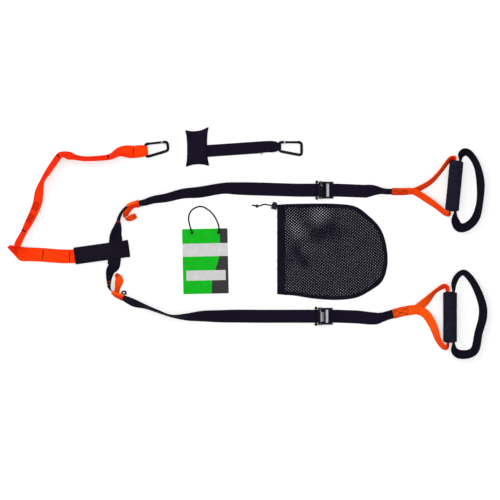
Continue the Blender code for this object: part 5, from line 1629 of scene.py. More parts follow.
@dataclass
class MainStrap:
    """The black strap that crosses inside the sleeve and carries both arms."""

    sleeve: Sleeve
    angle: float = 86.0
    entry_tilt: float = 30.0
    mouth_tilt: float = 8.0
    tack_thread: float = 0.0006
    tacks: tuple[Spot, ...] = (
        (121.0, 217.6), (120.4, 220.0), (119.6, 222.6), (117.0, 281.5), (116.4, 284.6),
    )

    def sections(self) -> Route:
        """The strap's course through the sleeve.

        Returns:
            Sections from the lower arm to the upper arm.
        """
        crossing = self.sleeve.point(self.sleeve.crossing)
        direction = spun(self.angle, Vector((1.0, 0.0, 0.0)))
        inside = self.sleeve.wall + SEAT_GAP + LAYER
        skew = math.radians(self.angle - 90.0 - self.sleeve.turn)
        reach = (self.sleeve.width + ARM_WEB_WIDTH * abs(math.sin(skew))) / 2 + 2 * self.sleeve.wall
        outside = reach + ARM_WEB_WIDTH / 3
        rows = placed(MAIN_STRAP_STOPS)
        for along, tilt, share in (
            (-outside, self.entry_tilt, 0.4), (-reach, self.mouth_tilt, 1.0), (-reach / 3, 0.0, 1.0),
            (reach / 3, 0.0, 1.0), (reach, self.mouth_tilt, 1.0), (outside, self.entry_tilt, 0.4),
        ):
            spot = crossing + direction * along
            rows.append([spot.x, spot.y, tilt, inside * share, 1.0])
        return route(rows + placed(MAIN_STRAP_EXIT_STOPS), ARM_WEB_WIDTH)

    def build(self) -> tuple[Section, Section]:
        """Make the strap.

        Returns:
            The sections at which the lower and the upper arm carry on.
        """
        sections = self.sections()
        ride(tape("main_strap_webbing", sections, BLACK_WEBBING), "main_strap")
        sewing = Stitcher("main_strap_tacks", BRIGHT_TACK, thread=self.tack_thread)
        for spot in self.tacks:
            for lift in (FACE, -FACE - SEAT_GAP):
                sewing.tack(sections, nearest_length(sections, seen_at(*spot)), lift, 0.86, 0.0007)
        sewing.done()
        return sections[0].turned_over(), sections[-1]


@dataclass(frozen=True)
class BuckleSizes:
    """The cam buckle's sizes that the webbing follows."""

    length: float = 0.051
    plate: float = 0.0022
    bar_length: float = 0.005
    bar_thickness: float = 0.002
    base: float = 0.002
    front_radius: float = 0.0022
    front_height: float = 0.0030
    setback: float = 0.0040
    bridge_start: float = 0.0043
    bridge_length: float = 0.0092
    pin_setback: float = 0.0096
    drum: float = 0.0048
    sewn_back: float = 0.044

    def levels(self) -> dict[str, float]:
        """Heights of the webbing's middle at the buckle.

        Returns:
            The heights by the name of the place.
        """
        return {
            "floor": FACE,
            "second": FACE + LAYER,
            "third": FACE + 2 * LAYER,
            "over_bar": FACE + self.bar_thickness + 2 * SEAT_GAP + WEB_THICKNESS,
            "under_cam": self.base + SEAT_GAP + FACE,
            "over_front": self.front_height + self.front_radius + SEAT_GAP + FACE,
        }


@dataclass
class Arm:
    """One arm: top strap, adjusting strap, orange tab and cam buckle."""

    side: str
    x: float
    y: float
    stops: tuple[Row, ...]
    lead_stops: tuple[Row, ...]
    pull_stops: tuple[Row, ...]
    tab_start: float
    pull_face: int
    lever_metal: MetalFinish
    buckle: BuckleSizes = BuckleSizes()
    tab_width: float = 0.025
    tab_steps: int = 14
    tab_flare: float = 0.0004
    tab_corner: float = 0.0009
    seam_overlap: int = 7

    def upright(self, points: list[Spot]) -> Route:
        """Flat webbing across +Y through points of (distance from the buckle, height)."""
        places = [at(self.x + x, self.y, height) for x, height in points]
        return upright_route(places, ACROSS_Y, ARM_WEB_WIDTH)

    def build(self, seam: Section) -> None:
        """Make the straps, the tab and the buckle's finish.

        Args:
            seam: The section at which the main strap ends.
        """
        size = self.buckle
        level = size.levels()
        half = size.length / 2
        bar_end = size.bar_length + size.plate / 2 - half
        sewn_end = bar_end - size.sewn_back
        rows = placed(self.stops) + [flat_row(at(self.x + sewn_end - half / 2, self.y))]
        frames = [seam] + route(rows, ARM_WEB_WIDTH)[self.seam_overlap:]
        low = self.upright([(sewn_end, level["floor"]), (-half, level["floor"]), (bar_end, level["floor"])])
        turn = half_turn(low[-1], (level["over_bar"] - level["floor"]) / 2)
        back = self.upright([
            (sewn_end, level["second"]), (-half - size.bar_length * 2, level["second"] + SEAT_GAP),
            (-half + SEAT_GAP, level["over_bar"]), (bar_end, level["over_bar"]),
        ])
        back = [section.turned_over() for section in reversed(back)]
        top = tape(f"{self.side}_top_strap_webbing", frames + low + turn + back, BLACK_WEBBING)
        ride(top, f"{self.side}_top_strap")
        self.tail(frames, bar_end, sewn_end)
        sewing = Stitcher(f"{self.side}_strap_stitching", BLACK_THREAD)
        sewing.box_cross(low, 0.002, min(0.030, lengths_along(low)[-1]), -FACE, 0.78)
        sewing.done()
        self.tab(frames)
        self.dress_buckle()

    def tail(self, frames: Route, bar_end: float, sewn_end: float) -> None:
        """The adjusting strap's tail, over the top strap and through the buckle.

        Args:
            frames: The top strap's sections.
            bar_end: Where the buckle's fixed bar ends, from the buckle's middle.
            sewn_end: Where the top strap's sewn fold ends.
        """
        size = self.buckle
        level = size.levels()
        half = size.length / 2
        front = half - size.setback
        over_bar = level["over_bar"] + LAYER
        lengths = lengths_along(frames)
        tail = [section.moved(LAYER) for section, length in zip(frames, lengths) if length > self.tab_start]
        tail += self.upright([
            (sewn_end - size.front_radius, level["third"] + SEAT_GAP),
            (-half - size.bar_length * 2, level["third"] + 3 * SEAT_GAP),
            (-half + SEAT_GAP, over_bar + SEAT_GAP), (bar_end, over_bar),
            (-size.pin_setback - size.drum, over_bar - SEAT_GAP),
            (-size.pin_setback, (over_bar + level["under_cam"]) / 2 + SEAT_GAP),
            (-size.pin_setback / 2, level["under_cam"]), (size.bridge_start, level["under_cam"]),
            (size.bridge_start + size.bridge_length / 2, level["under_cam"] + SEAT_GAP),
            (front - 2 * size.front_radius, level["over_front"] - SEAT_GAP), (front, level["over_front"]),
        ])
        ride(tape(f"{self.side}_tail_webbing", tail, BLACK_WEBBING), f"{self.side}_adjust_strap_tail")

    def tab(self, frames: Route) -> None:
        """Fold the orange tab round both straps, with its free ribbon.

        Args:
            frames: The top strap's sections.
        """
        start = self.tab_start - self.tab_width / 3
        end = self.tab_start + self.tab_width
        marks = [start + (end - start) * i / self.tab_steps for i in range(self.tab_steps + 1)]
        held = [section_at(frames, mark) for mark in marks]
        faces = (-FACE - SEAT_GAP, LAYER + FACE + SEAT_GAP)
        band = finish_mesh(f"{self.side}_tab_band", self.band(held, marks, faces), ORANGE_TAPE)
        ride(band, f"{self.side}_adjuster_tab")
        root = held[len(held) // 3]
        reach = faces[1 if self.pull_face > 0 else 0]
        spot = root.middle + root.out * (reach + self.pull_face * FACE)
        rows = placed(self.pull_stops)
        ribbon = route([[spot.x, spot.y, rows[0][2], 0.0, rows[0][4]]] + rows, self.tab_width)
        ride(tape(f"{self.side}_tab_ribbon", ribbon, ORANGE_TAPE))
        sewing = Stitcher(f"{self.side}_tab_stitching", RUST_TACK)
        top = faces[1] + WEB_THICKNESS
        for share in (0.12, 0.88):
            section = section_at(frames, start + (end - start) * share)
            line = [section.point(section.width * (i / 10 - 0.5) * 0.9, top) for i in range(11)]
            sewing.run(line, [section.out] * 11)
        total = lengths_along(ribbon)[-1]
        for share in (0.86, 0.93):
            sewing.tack(ribbon, total * share, FACE, 0.8, 0.0006)
        sewing.done()

    def band(self, held: Route, marks: list[float], faces: Spot) -> Geometry:
        """The tab's band round both straps.

        Args:
            held: The top strap's sections under it.
            marks: How far along the strap each of them lies.
            faces: The heights of the straps' lower and upper face from the sections' middles.

        Returns:
            The geometry.
        """
        shells = []
        for reach in (WEB_THICKNESS, 0.0):
            shell = []
            for k, section in enumerate(held):
                flare = self.tab_flare if k in (0, len(held) - 1) else 0.0
                shape = self.wrap(section.width / 2 + SEAT_GAP + flare, faces, reach)
                shell.append([section.point(across, out) for across, out in shape])
            shells.append(shell)
        places = marks_along(shells[0][0])
        places.append(places[-1] + 0.001)
        bm = bmesh.new()
        shells = [[[bm.verts.new(point) for point in ring] for ring in shell] for shell in shells]
        for shell in shells:
            for i in range(len(held) - 1):
                for k, one in enumerate(shell[i]):
                    m = (k + 1) % len(shell[i])
                    corners = (one, shell[i + 1][k], shell[i + 1][m], shell[i][m])
                    knit(bm, corners, marks[i:i + 2], places[k:k + 2])
        for i in (0, -1):
            skin(bm, [shells[0][i], shells[1][i]])
        return bm

    def wrap(self, half: float, faces: Spot, reach: float) -> list[Spot]:
        """A rounded loop round a section.

        Args:
            half: From the section's middle to the loop's edge.
            faces: The heights of the faces that it lies on.
            reach: How far outside them it runs.

        Returns:
            Points of (across, out).
        """
        corner = self.tab_corner + reach
        points = []
        for across, out, start in ((1, 1, 0), (-1, 1, 90), (-1, -1, 180), (1, -1, 270)):
            x = across * (half + reach - corner)
            y = faces[1 if out > 0 else 0] + out * (reach - corner)
            for i in range(5):
                angle = math.radians(start + 22.5 * i)
                points.append((x + corner * math.cos(angle), y + corner * math.sin(angle)))
        return points

    def dress_buckle(self) -> None:
        """Give the buckle's pieces their metals; its bridge is left bright."""
        x, y, _ = at(self.x, self.y)
        half = ARM_WEB_WIDTH / 2 - 0.0005
        zone = ((x + self.buckle.bridge_start + 0.0010, y - half, 0.0074), (x + 0.0120, y + half, 0.0095))
        name = f"{self.side}_frame_metal"
        metal = replace(COATED_METAL, name=name, roughness=0.42, gloss=0.16, zone=zone)
        dress(f"{self.side}_buckle_frame", metal, 0.0003)
        dress(f"{self.side}_cam_lever", self.lever_metal, 0.0003)
        dress(f"{self.side}_cam_pin", STEEL, 0.0002)
        dress(f"{self.side}_cam_spring", STEEL)

    def lead(self) -> None:
        """The adjusting strap from the buckle to the handle, baked into the model's frame."""
        size = self.buckle
        level = size.levels()
        front = size.length / 2 - size.setback
        sections = self.upright([
            (front + SEAT_GAP, level["over_front"]), (front + size.setback / 3, level["over_front"]),
            (front + size.setback, level["under_cam"] * 1.6), (front + 2 * size.setback, level["under_cam"]),
            (front + 4 * size.setback, level["floor"]),
        ])
        sections += route(placed(self.lead_stops), ARM_WEB_WIDTH)
        strap = tape(f"{self.side}_lead_webbing", sections, BLACK_WEBBING)
        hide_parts(f"{self.side}_adjust_strap_lead")
        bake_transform(strap)
        LOG.info("%s is held by the buckle and drawn out by the handle", strap.name)


@dataclass
class Handle:
    """One handle: foam grip on its tube, orange yoke and foot cradle."""

    side: str
    x: float
    y: float
    lean: float
    yoke_out: tuple[Row, ...]
    yoke_back: tuple[Row, ...]
    cradle_stops: tuple[Row, ...]
    grip_length: float = 0.136
    grip_radius: float = 0.0192
    foam_wall: float = 0.0052
    foam_round: float = 0.0026
    foam_lip: float = 0.0008
    tube_proud: float = 0.002
    ribbon_proud: float = 0.005
    yoke_width: float = 0.028
    cradle_width: float = 0.038
    yoke_offset: float = 0.0067
    cradle_offset: float = -0.0098
    sewn: Spot = (0.003, 0.041)

    def axis(self) -> Vector:
        """The grip's axis."""
        return spun(self.lean, ACROSS_Y)

    def bore_rows(
        self, width: float, share: float, offset: float, tilts: Spot, widen: float
    ) -> list[list[float]]:
        """Stops of a ribbon that stands on edge in the tube and leans where it leaves it.

        Args:
            width: The ribbon's full width.
            share: How much of it the bore leaves, gathered.
            offset: From the tube's axis, across.
            tilts: Its lean just outside the low end and the high end.
            widen: How much wider it is there.

        Returns:
            The stops, low end first.
        """
        axis = self.axis()
        reach = self.grip_length / 2 + self.tube_proud + self.ribbon_proud
        normal = Vector((axis.y, -axis.x, 0.0))
        rows = []
        for i in range(7):
            point = at(self.x, self.y) + axis * reach * (i / 3 - 1) - normal * offset
            end = i in (0, 6)
            tilt = tilts[1 if i else 0] if end else 90.0
            part = share * widen if end else share
            rise = self.grip_radius - width * part * math.sin(math.radians(tilt)) / 2
            rows.append([point.x, point.y, tilt, rise, part])
        return rows

    def build(self) -> None:
        """Make the yoke, the cradle and the grip, and dress the tube."""
        body = f"{self.side}_handle"
        rows = self.bore_rows(self.yoke_width, 0.62, self.yoke_offset - LAYER, (66.0, 114.0), 1.35)
        rows = placed(self.yoke_out) + rows + placed(self.yoke_back)
        sections = [section.moved(-LAYER) for section in route(rows, self.yoke_width)]
        ride(tape(f"{self.side}_yoke_webbing", sections, ORANGE_TAPE), f"{self.side}_yoke", body=body)
        sewing = Stitcher(f"{self.side}_yoke_stitching", DARK_TACK, body, thread=0.00055)
        total = lengths_along(sections)[-1]
        start, end = self.sewn
        for lift in (FACE, -FACE - 0.0002):
            sewing.box_cross(sections, start, end, lift, 0.72)
            sewing.box_cross(sections, total - end, total - start, lift, 0.72)
        sewing.done()
        rows = self.bore_rows(self.cradle_width, 0.22, self.cradle_offset, (58.0, 58.0), 2.2)
        loop = route(rows + placed(self.cradle_stops), self.cradle_width, closed=True)
        cradle = tape(f"{self.side}_cradle_webbing", loop, BLACK_WEBBING, closed=True)
        ride(cradle, f"{self.side}_foot_cradle", body=f"{self.side}_cradle")
        self.grip()
        dress(f"{self.side}_handle_tube", PLASTIC, 0.0003)

    def grip(self) -> None:
        """The foam sleeve: slightly uneven, with softly rounded ends."""
        half = self.grip_length / 2
        bore = self.grip_radius - self.foam_wall
        end = [(bore, half - self.foam_lip / 2), (bore + self.foam_lip, half)]
        for i in range(7):
            angle = math.radians(90.0 * i / 6)
            end.append((self.grip_radius - self.foam_round * (1 - math.sin(angle)),
                        half - self.foam_round * (1 - math.cos(angle))))
        side = [(self.grip_radius, (half - self.foam_round) * (1 - i / 20)) for i in range(1, 40)]
        profile = end + side + [(radius, -along) for radius, along in reversed(end)]
        axis = self.axis()
        side = side_of(axis)
        centre = at(self.x, self.y, self.grip_radius)
        bm = bmesh.new()
        rings = []
        for radius, along in profile:
            ring = ring_of(centre + axis * along, side, axis.cross(side), radius, 96)
            rings.append([bm.verts.new(point) for point in ring])
        skin(bm, rings, closed=True)
        for vert in bm.verts:
            away = vert.co - centre
            away -= axis * away.dot(axis)
            if away.length > self.grip_radius * 0.9:
                waver = noise.noise(vert.co * 38.0) * 0.00030 + noise.noise(vert.co * 160.0) * 0.00010
                vert.co += away.normalized() * (waver - 0.0002)
        foam = finish_mesh(f"{self.side}_grip_foam", bm, FOAM)
        ride(foam, f"{self.side}_foam_grip", body=f"{self.side}_grip")


@dataclass
class DoorAnchor:
    """The pillow that stays behind the door and the doubled strap to its carabiner."""

    carabiner: Carabiner
    x: float = -0.147125
    y: float = 0.2578125
    corners: tuple[Spot, ...] = (
        (-0.0275, -0.0495), (0.0330, -0.04675), (0.031625, 0.056375), (-0.028875, 0.0474375),
    )
    width: float = 0.033
    seam: float = 0.0052
    height: float = 0.030
    swell: Spot = (0.0085, 0.0044)
    waist: float = 0.080
    ear: float = 0.0012
    settling: float = 0.014
    steps: int = 26
    thread_end: Spot = (261.5, 153.7)

    def build(self) -> None:
        """Make the strap, its stitching and the pillow."""
        rows = self.carabiner.eye_rows(0.96) + placed(DOOR_STRAP_STOPS[::-1])
        lower = route(rows, self.width)
        upper = [
            section.moved(self.carabiner.eye_rise(length)).turned_over()
            for section, length in zip(lower, lengths_along(lower))
        ]
        upper.reverse()
        sections = upper + self.carabiner.eye_turn(upper[-1]) + lower
        ride(tape("door_strap_webbing", sections, BLACK_WEBBING), "door_anchor_strap")
        self.sew([section.turned_over() for section in upper])
        pillow, rim = self.pillow()
        ride(pillow, "door_anchor_pillow")
        ride(finish_mesh("pillow_edge_tape", bar_mesh(rim, 0.0017, 10, closed=True), EDGE_TAPE))

    def sew(self, held: Route) -> None:
        """Sew the two layers together, with a thread's end left standing at the edge.

        Args:
            held: The upper layer, from the pillow to the carabiner.
        """
        sewing = Stitcher("door_strap_stitching", BLACK_THREAD)
        total = lengths_along(held)[-1]
        for across in (-0.84, 0.84):
            sewing.line(held, (0.024, across), (total - 0.045, across), FACE, 12)
        sewing.box_cross(held, total - 0.044, total - 0.016, FACE, 0.6)
        spot = seen_at(*self.thread_end, 0.0022)
        ends = [spot + Vector((0.0016 * k - 0.003, -0.00018 * k * (5 - k), 0.0003 * k)) for k in range(5)]
        bar_mesh(ends, 0.0009, 8, bm=sewing.bm)
        sewing.done()

    def cut_point(self, u: float, v: float) -> Vector:
        """A point of the pillow's flat cut.

        Args:
            u: The share across it, from -1 to 1.
            v: The share up it.

        Returns:
            The point, from the pillow's middle.
        """
        marks = [Vector((x, y, 0.0)) for x, y in self.corners]
        low = marks[0].lerp(marks[1], (u + 1) / 2)
        high = marks[3].lerp(marks[2], (u + 1) / 2)
        point = low.lerp(high, (v + 1) / 2)
        point.x *= 1 - self.waist * (1 - v * v) * abs(u)
        point.y *= 1 - self.waist * (1 - u * u) * abs(v)
        ear = abs(u * v) ** 5 * self.ear
        return point + Vector((math.copysign(ear, u), math.copysign(ear, v), 0.0))

    def pillow(self) -> tuple[Piece, list[Vector]]:
        """Fill a flat cover by cloth simulation, so that its sides pull in between its corners.

        Returns:
            The cover, and the line of its seam as it settled.
        """
        last = self.steps
        bm = bmesh.new()
        rim = {}
        centre = at(self.x, self.y)
        for up, swell in zip((1.0, -1.0), self.swell):
            rows = []
            for i in range(last + 1):
                row = []
                for j in range(last + 1):
                    u = 2 * i / last - 1
                    v = 2 * j / last - 1
                    level = self.seam + up * swell * math.sqrt(max((1 - u**4) * (1 - v**4), 0.0))
                    corner = rim.get((i, j))
                    if corner is None:
                        corner = bm.verts.new(centre + self.cut_point(u, v) + UP * level)
                        if i in (0, last) or j in (0, last):
                            rim[i, j] = corner
                    row.append(corner)
                rows.append(row)
            for one, two in zip(rows, rows[1:]):
                for j in range(last):
                    bm.faces.new((one[j], two[j], two[j + 1], one[j + 1]))
        bm.verts.index_update()
        walk = [(i, 0) for i in range(last)] + [(last, j) for j in range(last)]
        walk += [(last - i, last) for i in range(last)] + [(0, last - j) for j in range(last)]
        order = [rim[spot].index for spot in walk]
        piece = finish_mesh("pillow_cover", bm, PILLOW_CLOTH, 80.0)
        rest = [vert.co.copy() for vert in piece.data.vertices]
        self.fill(piece)
        for vert, start in zip(piece.data.vertices, rest):
            shift = vert.co - start
            if shift.length > self.settling:
                vert.co = start + shift.normalized() * self.settling
            vert.co.z = clamp(vert.co.z, 0.0004, self.height)
        finer = piece.modifiers.new("finer", "SUBSURF")
        finer.levels = 1
        finer.render_levels = 1
        return piece, [piece.data.vertices[index].co.copy() for index in order]

    def fill(self, piece: Piece) -> None:
        """Inflate the cover and keep the shape that it takes.

        Args:
            piece: The flat cover.
        """
        cloth = piece.modifiers.new("filling", "CLOTH")
        cloth.settings.use_pressure = True
        cloth.settings.uniform_pressure_force = 2.6
        cloth.settings.mass = 0.3
        cloth.settings.tension_stiffness = 40.0
        cloth.settings.compression_stiffness = 15.0
        cloth.settings.bending_stiffness = 0.6
        cloth.settings.effector_weights.gravity = 0.0
        scene = bpy.context.scene
        for step in range(1, 21):
            scene.frame_set(step)
        settled = piece.evaluated_get(bpy.context.evaluated_depsgraph_get())
        places = [vert.co.copy() for vert in settled.data.vertices]
        piece.modifiers.remove(cloth)
        for vert, place in zip(piece.data.vertices, places):
            vert.co = place
        scene.frame_set(1)


@dataclass(frozen=True)
class MeshFinish(Finish):
    """Open mesh cloth: staggered holes through a knitted ground, in places drawn nearly shut."""

    turn: float = -3.1
    yarn: Colour = (0.0100, 0.0080, 0.0170)
    # knot is the painted shade round each hole, where the cloth dips.
    knot: Colour = (0.0045, 0.0036, 0.0080)
    pitch: float = 0.00917
    row: float = 0.00386
    squash: float = 1.15
    bend: float = 0.0035
    hole: Spot = (0.00060, 0.00034)
    level: float = 0.003
    spots: tuple[Row, ...] = (
        (0.1925, 0.0743, 0.045, 0.00062), (0.1320, 0.0300, 0.036, 0.00050),
        (0.1150, 0.0560, 0.034, 0.00030), (0.2200, 0.0350, 0.040, -0.00052),
        (0.1850, 0.0220, 0.034, -0.00052), (0.1240, -0.0200, 0.026, -0.00040),
        (0.1480, -0.0560, 0.028, -0.00044), (0.1330, -0.0370, 0.022, -0.00040),
        (0.1020, -0.0500, 0.030, -0.00026), (0.2550, 0.0250, 0.030, -0.00020),
        (0.1560, 0.0450, 0.024, -0.00020),
    )

    def paint(self, sketch: Sketch) -> None:
        """Knit the ground and open its holes.

        Args:
            sketch: The material's nodes.
        """
        coords = sketch.place()
        turned = sketch.add("VectorRotate", rotation_type="Z_AXIS")
        sketch.fill(turned, Vector=coords, Angle=math.radians(self.turn))
        wave = sketch.fill(sketch.add("TexNoise"), Vector=coords, Scale=8.0, Detail=1.0)
        bent = sketch.add("VectorMath", operation="MULTIPLY_ADD")
        values = (wave.outputs["Color"], (self.bend, self.bend, 0.0), turned.outputs[0])
        for socket, value in zip(bent.inputs, values):
            sketch.feed(socket, value)
        x, y, _ = sketch.parts(bent.outputs[0])
        level = sketch.math("DIVIDE", y, self.row)
        odd = sketch.times(sketch.math("MODULO", sketch.math("FLOOR", level), 2.0), 0.5)
        column = sketch.math("ADD", sketch.math("DIVIDE", x, self.pitch), odd)
        square = 0.0
        for count, size in ((column, self.pitch), (level, self.row * self.squash)):
            away = sketch.times(sketch.math("SUBTRACT", sketch.math("FRACT", count), 0.5), size)
            square = sketch.fit(away, away, square)
        reach = sketch.math("SQRT", square)
        solid = sketch.math("SUBTRACT", 1.0, sketch.math("LESS_THAN", reach, self.opening(sketch, coords)))
        # Painted shade: the ground darkens towards the knot colour near each hole, where the bump dips.
        shade = sketch.ramp(reach, 0.0010, 0.0036)
        colour = sketch.mix(shade, self.knot, self.yarn)
        sketch.fill(sketch.shader, Base_Color=colour, Alpha=solid, Roughness=0.8, Specular_IOR_Level=0.03)
        sketch.bump(shade, 0.0003, 0.6)

    def opening(self, sketch: Sketch, coords: Socket) -> Socket:
        """The holes' radius: drawn open in some soft spots and nearly shut along the folds.

        Args:
            sketch: The material's nodes.
            coords: The place in the model's frame.

        Returns:
            The radius.
        """
        least, more = self.hole
        size = sketch.fit(sketch.mottle(coords, 20.0, 2.0), more, least)
        for x, y, reach, change in self.spots:
            away = sketch.add("VectorMath", operation="DISTANCE")
            sketch.feed(away.inputs[0], coords)
            sketch.feed(away.inputs[1], at(x, y, self.level))
            near = sketch.ramp(away.outputs["Value"], 0.0, reach, 1.0, 0.0)
            size = sketch.fit(near, change, size)
        return size


@dataclass
class CarryBag:
    """The mesh bag, laid flat: two panels, bound edge, hem, drawcord and cord lock."""

    panel: float = 0.0008
    panel_gap: float = 0.0006
    binding: float = 0.0040
    hem_left: float = 0.07425
    hem_width: float = 0.022
    hem_height: float = 0.0046
    hem_ends: Spot = (-0.1415, 0.1000)
    hem_corners: tuple[Spot, ...] = ((0.0752, 0.1002), (0.0752, -0.1416))
    end: Spot = (0.09625, -0.1436875)
    flat: Spot = (0.300, 0.262)
    cord: float = 0.0038
    cord_tail: tuple[Place, ...] = (
        (-0.002, 0.0, 0.0), (-0.006, 0.0012, -0.001), (-0.010, 0.0024, -0.0025), (-0.0135, 0.0018, -0.0029),
    )
    folds: tuple[Row, ...] = (
        (0.122, 0.004, 0.168, -0.080, 0.010, 0.0042), (0.192, 0.030, 0.256, -0.004, 0.010, 0.0052),
        (0.205, 0.078, 0.222, 0.032, 0.009, 0.0034), (0.256, -0.058, 0.312, -0.096, 0.011, 0.0038),
    )
    border_shape: tuple[Spot, ...] = (
        (0.0008, 0.0030), (0.0040, 0.0036), (0.0075, 0.0038),
        (0.0088, 0.0034), (0.0088, 0.0026), (0.0008, 0.0022),
    )

    def build(self) -> None:
        """Make the panels, edge, hem and cord."""
        edge = [at(*row) for row in smooth_rows([*BAG_OUTLINE[1:-1], self.end], 8)]
        radius = self.binding / 2
        ends = [at(*corner) for corner in self.hem_corners]
        bm = bar_mesh([point + UP * radius for point in (ends[0], *edge, ends[1])], radius, 12)
        for vert in bm.verts:
            vert.co.z = max(vert.co.z + 0.0003 * noise.noise(vert.co * 60.0), 0.0)
        ride(finish_mesh("bag_edge_binding", bm, EDGE_TAPE), "bag_binding")
        self.border(edge)
        self.hem()
        sheets = [self.sheet(edge, index) for index in (0, 1)]
        self.drawcord()

    def lift(self, x: float, y: float) -> float:
        """How high the folds raise the cloth.

        Args:
            x: The place along the layout.
            y: The place across it.

        Returns:
            The height.
        """
        height = 0.0
        for x0, y0, x1, y1, reach, rise in self.folds:
            line = Vector((x1 - x0, y1 - y0))
            spot = Vector((x - x0, y - y0))
            share = clamp(spot.dot(line) / line.length_squared)
            gap = (spot - line * share).length
            fade = min(share, 1 - share) * 4
            if gap < reach:
                height += rise * (0.5 + 0.5 * math.cos(math.pi * gap / reach)) * min(fade, 1.0)
        return height + 0.0006 * (1.0 + noise.noise(Vector((x * 30, y * 30, 3.0))))

    def sheet(self, edge: list[Vector], index: int) -> tuple[Piece, float]:
        """One panel of the bag.

        Args:
            edge: The bound edge.
            index: Nought for the back panel, one for the front.

        Returns:
            The panel and its area.
        """
        side = ("back", "front")[index]
        left = at(0.0742 + self.hem_width - 0.001, 0.0).x
        middle = sum(edge, Vector()) / len(edge)
        start = Vector((left, edge[0].y - 0.001, 0.0))
        stop = Vector((left, edge[-1].y + 0.001, 0.0))
        ring = [start, *edge[1:-1], stop] + [stop.lerp(start, k / 30) for k in range(1, 30)]
        base = self.panel * 0.5 + index * (self.panel + self.panel_gap)
        bm = bmesh.new()
        rings = []
        levels = 30
        for r in range(levels):
            line = []
            slack = min(r / levels * 6.0, 1.0) * (1.0 if index else 0.75)
            for point in ring:
                spot = middle.lerp(point, (1.0 - r / levels) * 0.995)
                line.append(bm.verts.new((spot.x, spot.y, base + slack * self.lift(spot.x, spot.y))))
            rings.append(line)
        tip = bm.verts.new((middle.x, middle.y, base + self.lift(middle.x, middle.y)))
        skin(bm, rings)
        for one, two in zip(rings[-1], rings[-1][1:] + rings[-1][:1]):
            bm.faces.new((one, two, tip))
        area = sum(face.calc_area() for face in bm.faces)
        cloth = MeshFinish(f"bag_{side}_mesh", "mesh_cloth")
        return ride(finish_mesh(f"bag_{side}_cloth", bm, cloth, 80.0), f"bag_{side}_panel"), area

    def border(self, edge: list[Vector]) -> None:
        """The closed cloth border inside the bound edge.

        Args:
            edge: The bound edge.
        """
        bm = bmesh.new()
        rows = []
        for i, point in enumerate(edge):
            before, after = neighbours(edge, i)
            inward = (after - before).normalized().cross(UP)
            spots = [point + inward * inset + UP * level for inset, level in self.border_shape]
            rows.append([bm.verts.new(spot) for spot in spots])
        skin(bm, rows)
        for row in (rows[0], rows[-1]):
            bm.faces.new(row)
        ride(finish_mesh("bag_cloth_border", bm, HEM_CLOTH))

    def hem(self) -> None:
        """The drawcord hem: a flattened tube of cloth with gathers."""
        low, high = (at(0.0, y).y for y in self.hem_ends)
        left = at(self.hem_left, 0.0).x
        half = self.hem_width / 2
        bm = bmesh.new()
        rings = []
        steps = 90
        for i in range(steps + 1):
            y = low + (high - low) * i / steps
            gather = 0.0008 * noise.noise(Vector((0.0, y * 90.0, 1.0)))
            tall = self.hem_height / 2 * (0.82 + 0.18 * min(min(i, steps - i) / 3, 1.0))
            ring = []
            for k in range(28):
                angle = math.tau * k / 28
                across = math.copysign(abs(math.cos(angle)) ** 0.55, math.cos(angle))
                up = math.copysign(abs(math.sin(angle)) ** 0.8, math.sin(angle))
                wide = half + (gather - 0.0002 if across < 0 else 0.0)
                bump = 0.00035 * noise.noise(Vector((across * 3.0, y * 120.0, up)))
                height = max(self.hem_height / 2 + up * tall + bump, 0.0)
                ring.append(bm.verts.new((left + half + across * wide, y, height)))
            rings.append(ring)
        skin(bm, rings)
        bm.faces.new(rings[0])
        bm.faces.new(rings[-1][::-1])
        ride(finish_mesh("bag_hem_cloth", bm, HEM_CLOTH, 70.0), "bag_hem")
        sewing = Stitcher("bag_hem_stitching", BLACK_THREAD)
        x = left + self.hem_width - 0.0040
        line = [Vector((x, low + (high - low) * i / 60, self.hem_height - 0.0003)) for i in range(61)]
        sewing.run(line, [UP] * 61)
        sewing.done()

    def drawcord(self) -> None:
        """The free run of the drawcord, from the hem through the lock to its end knot."""
        points = [at(*row) for row in smooth_rows(list(DRAWCORD_POINTS), 3)]
        free = points[next(i for i, point in enumerate(points) if point.z > 0.0040):]
        radius = self.cord / 2
        size = radius * 2.5
        tip = Vector((free[-1].x, free[-1].y, size))
        coils = knot_mesh(tip, size, 0.4)
        bar_mesh([tip + Vector(step) for step in self.cord_tail], radius, 10, bm=coils)
        knot = finish_mesh("drawcord_knot", coils, BLACK_CORD, 80.0)
        cord = ride(cord_curve("drawcord_run", free, radius, BLACK_CORD), "drawcord")
        ride(knot)
        for node in ("cord_lock_barrel", "cord_lock_button"):
            dress(node, PLASTIC, 0.0004)
        dress("cord_lock_spring", STEEL)


def knot_mesh(centre: Vector, size: float, turn: float) -> Geometry:
    """An overhand knot drawn tight: three coils of cord that lap one another.

    Args:
        centre: Its middle.
        size: Its radius, about.
        turn: How far it is turned about the upright axis, in radians.

    Returns:
        The geometry.
    """
    bm = bmesh.new()
    for k in range(3):
        tilt = Matrix.Rotation(turn + math.radians(60.0 * k), 3, "Z")
        tilt = tilt @ Matrix.Rotation(math.radians(62.0), 3, "X")
        ring = []
        for i in range(28):
            angle = math.tau * i / 28
            spot = Vector((math.cos(angle), math.sin(angle), 0.12 * math.sin(2 * angle))) * size * 0.56
            ring.append(centre + tilt @ spot)
        bar_mesh(ring, size * 0.44, 10, closed=True, bm=bm)
    return bm


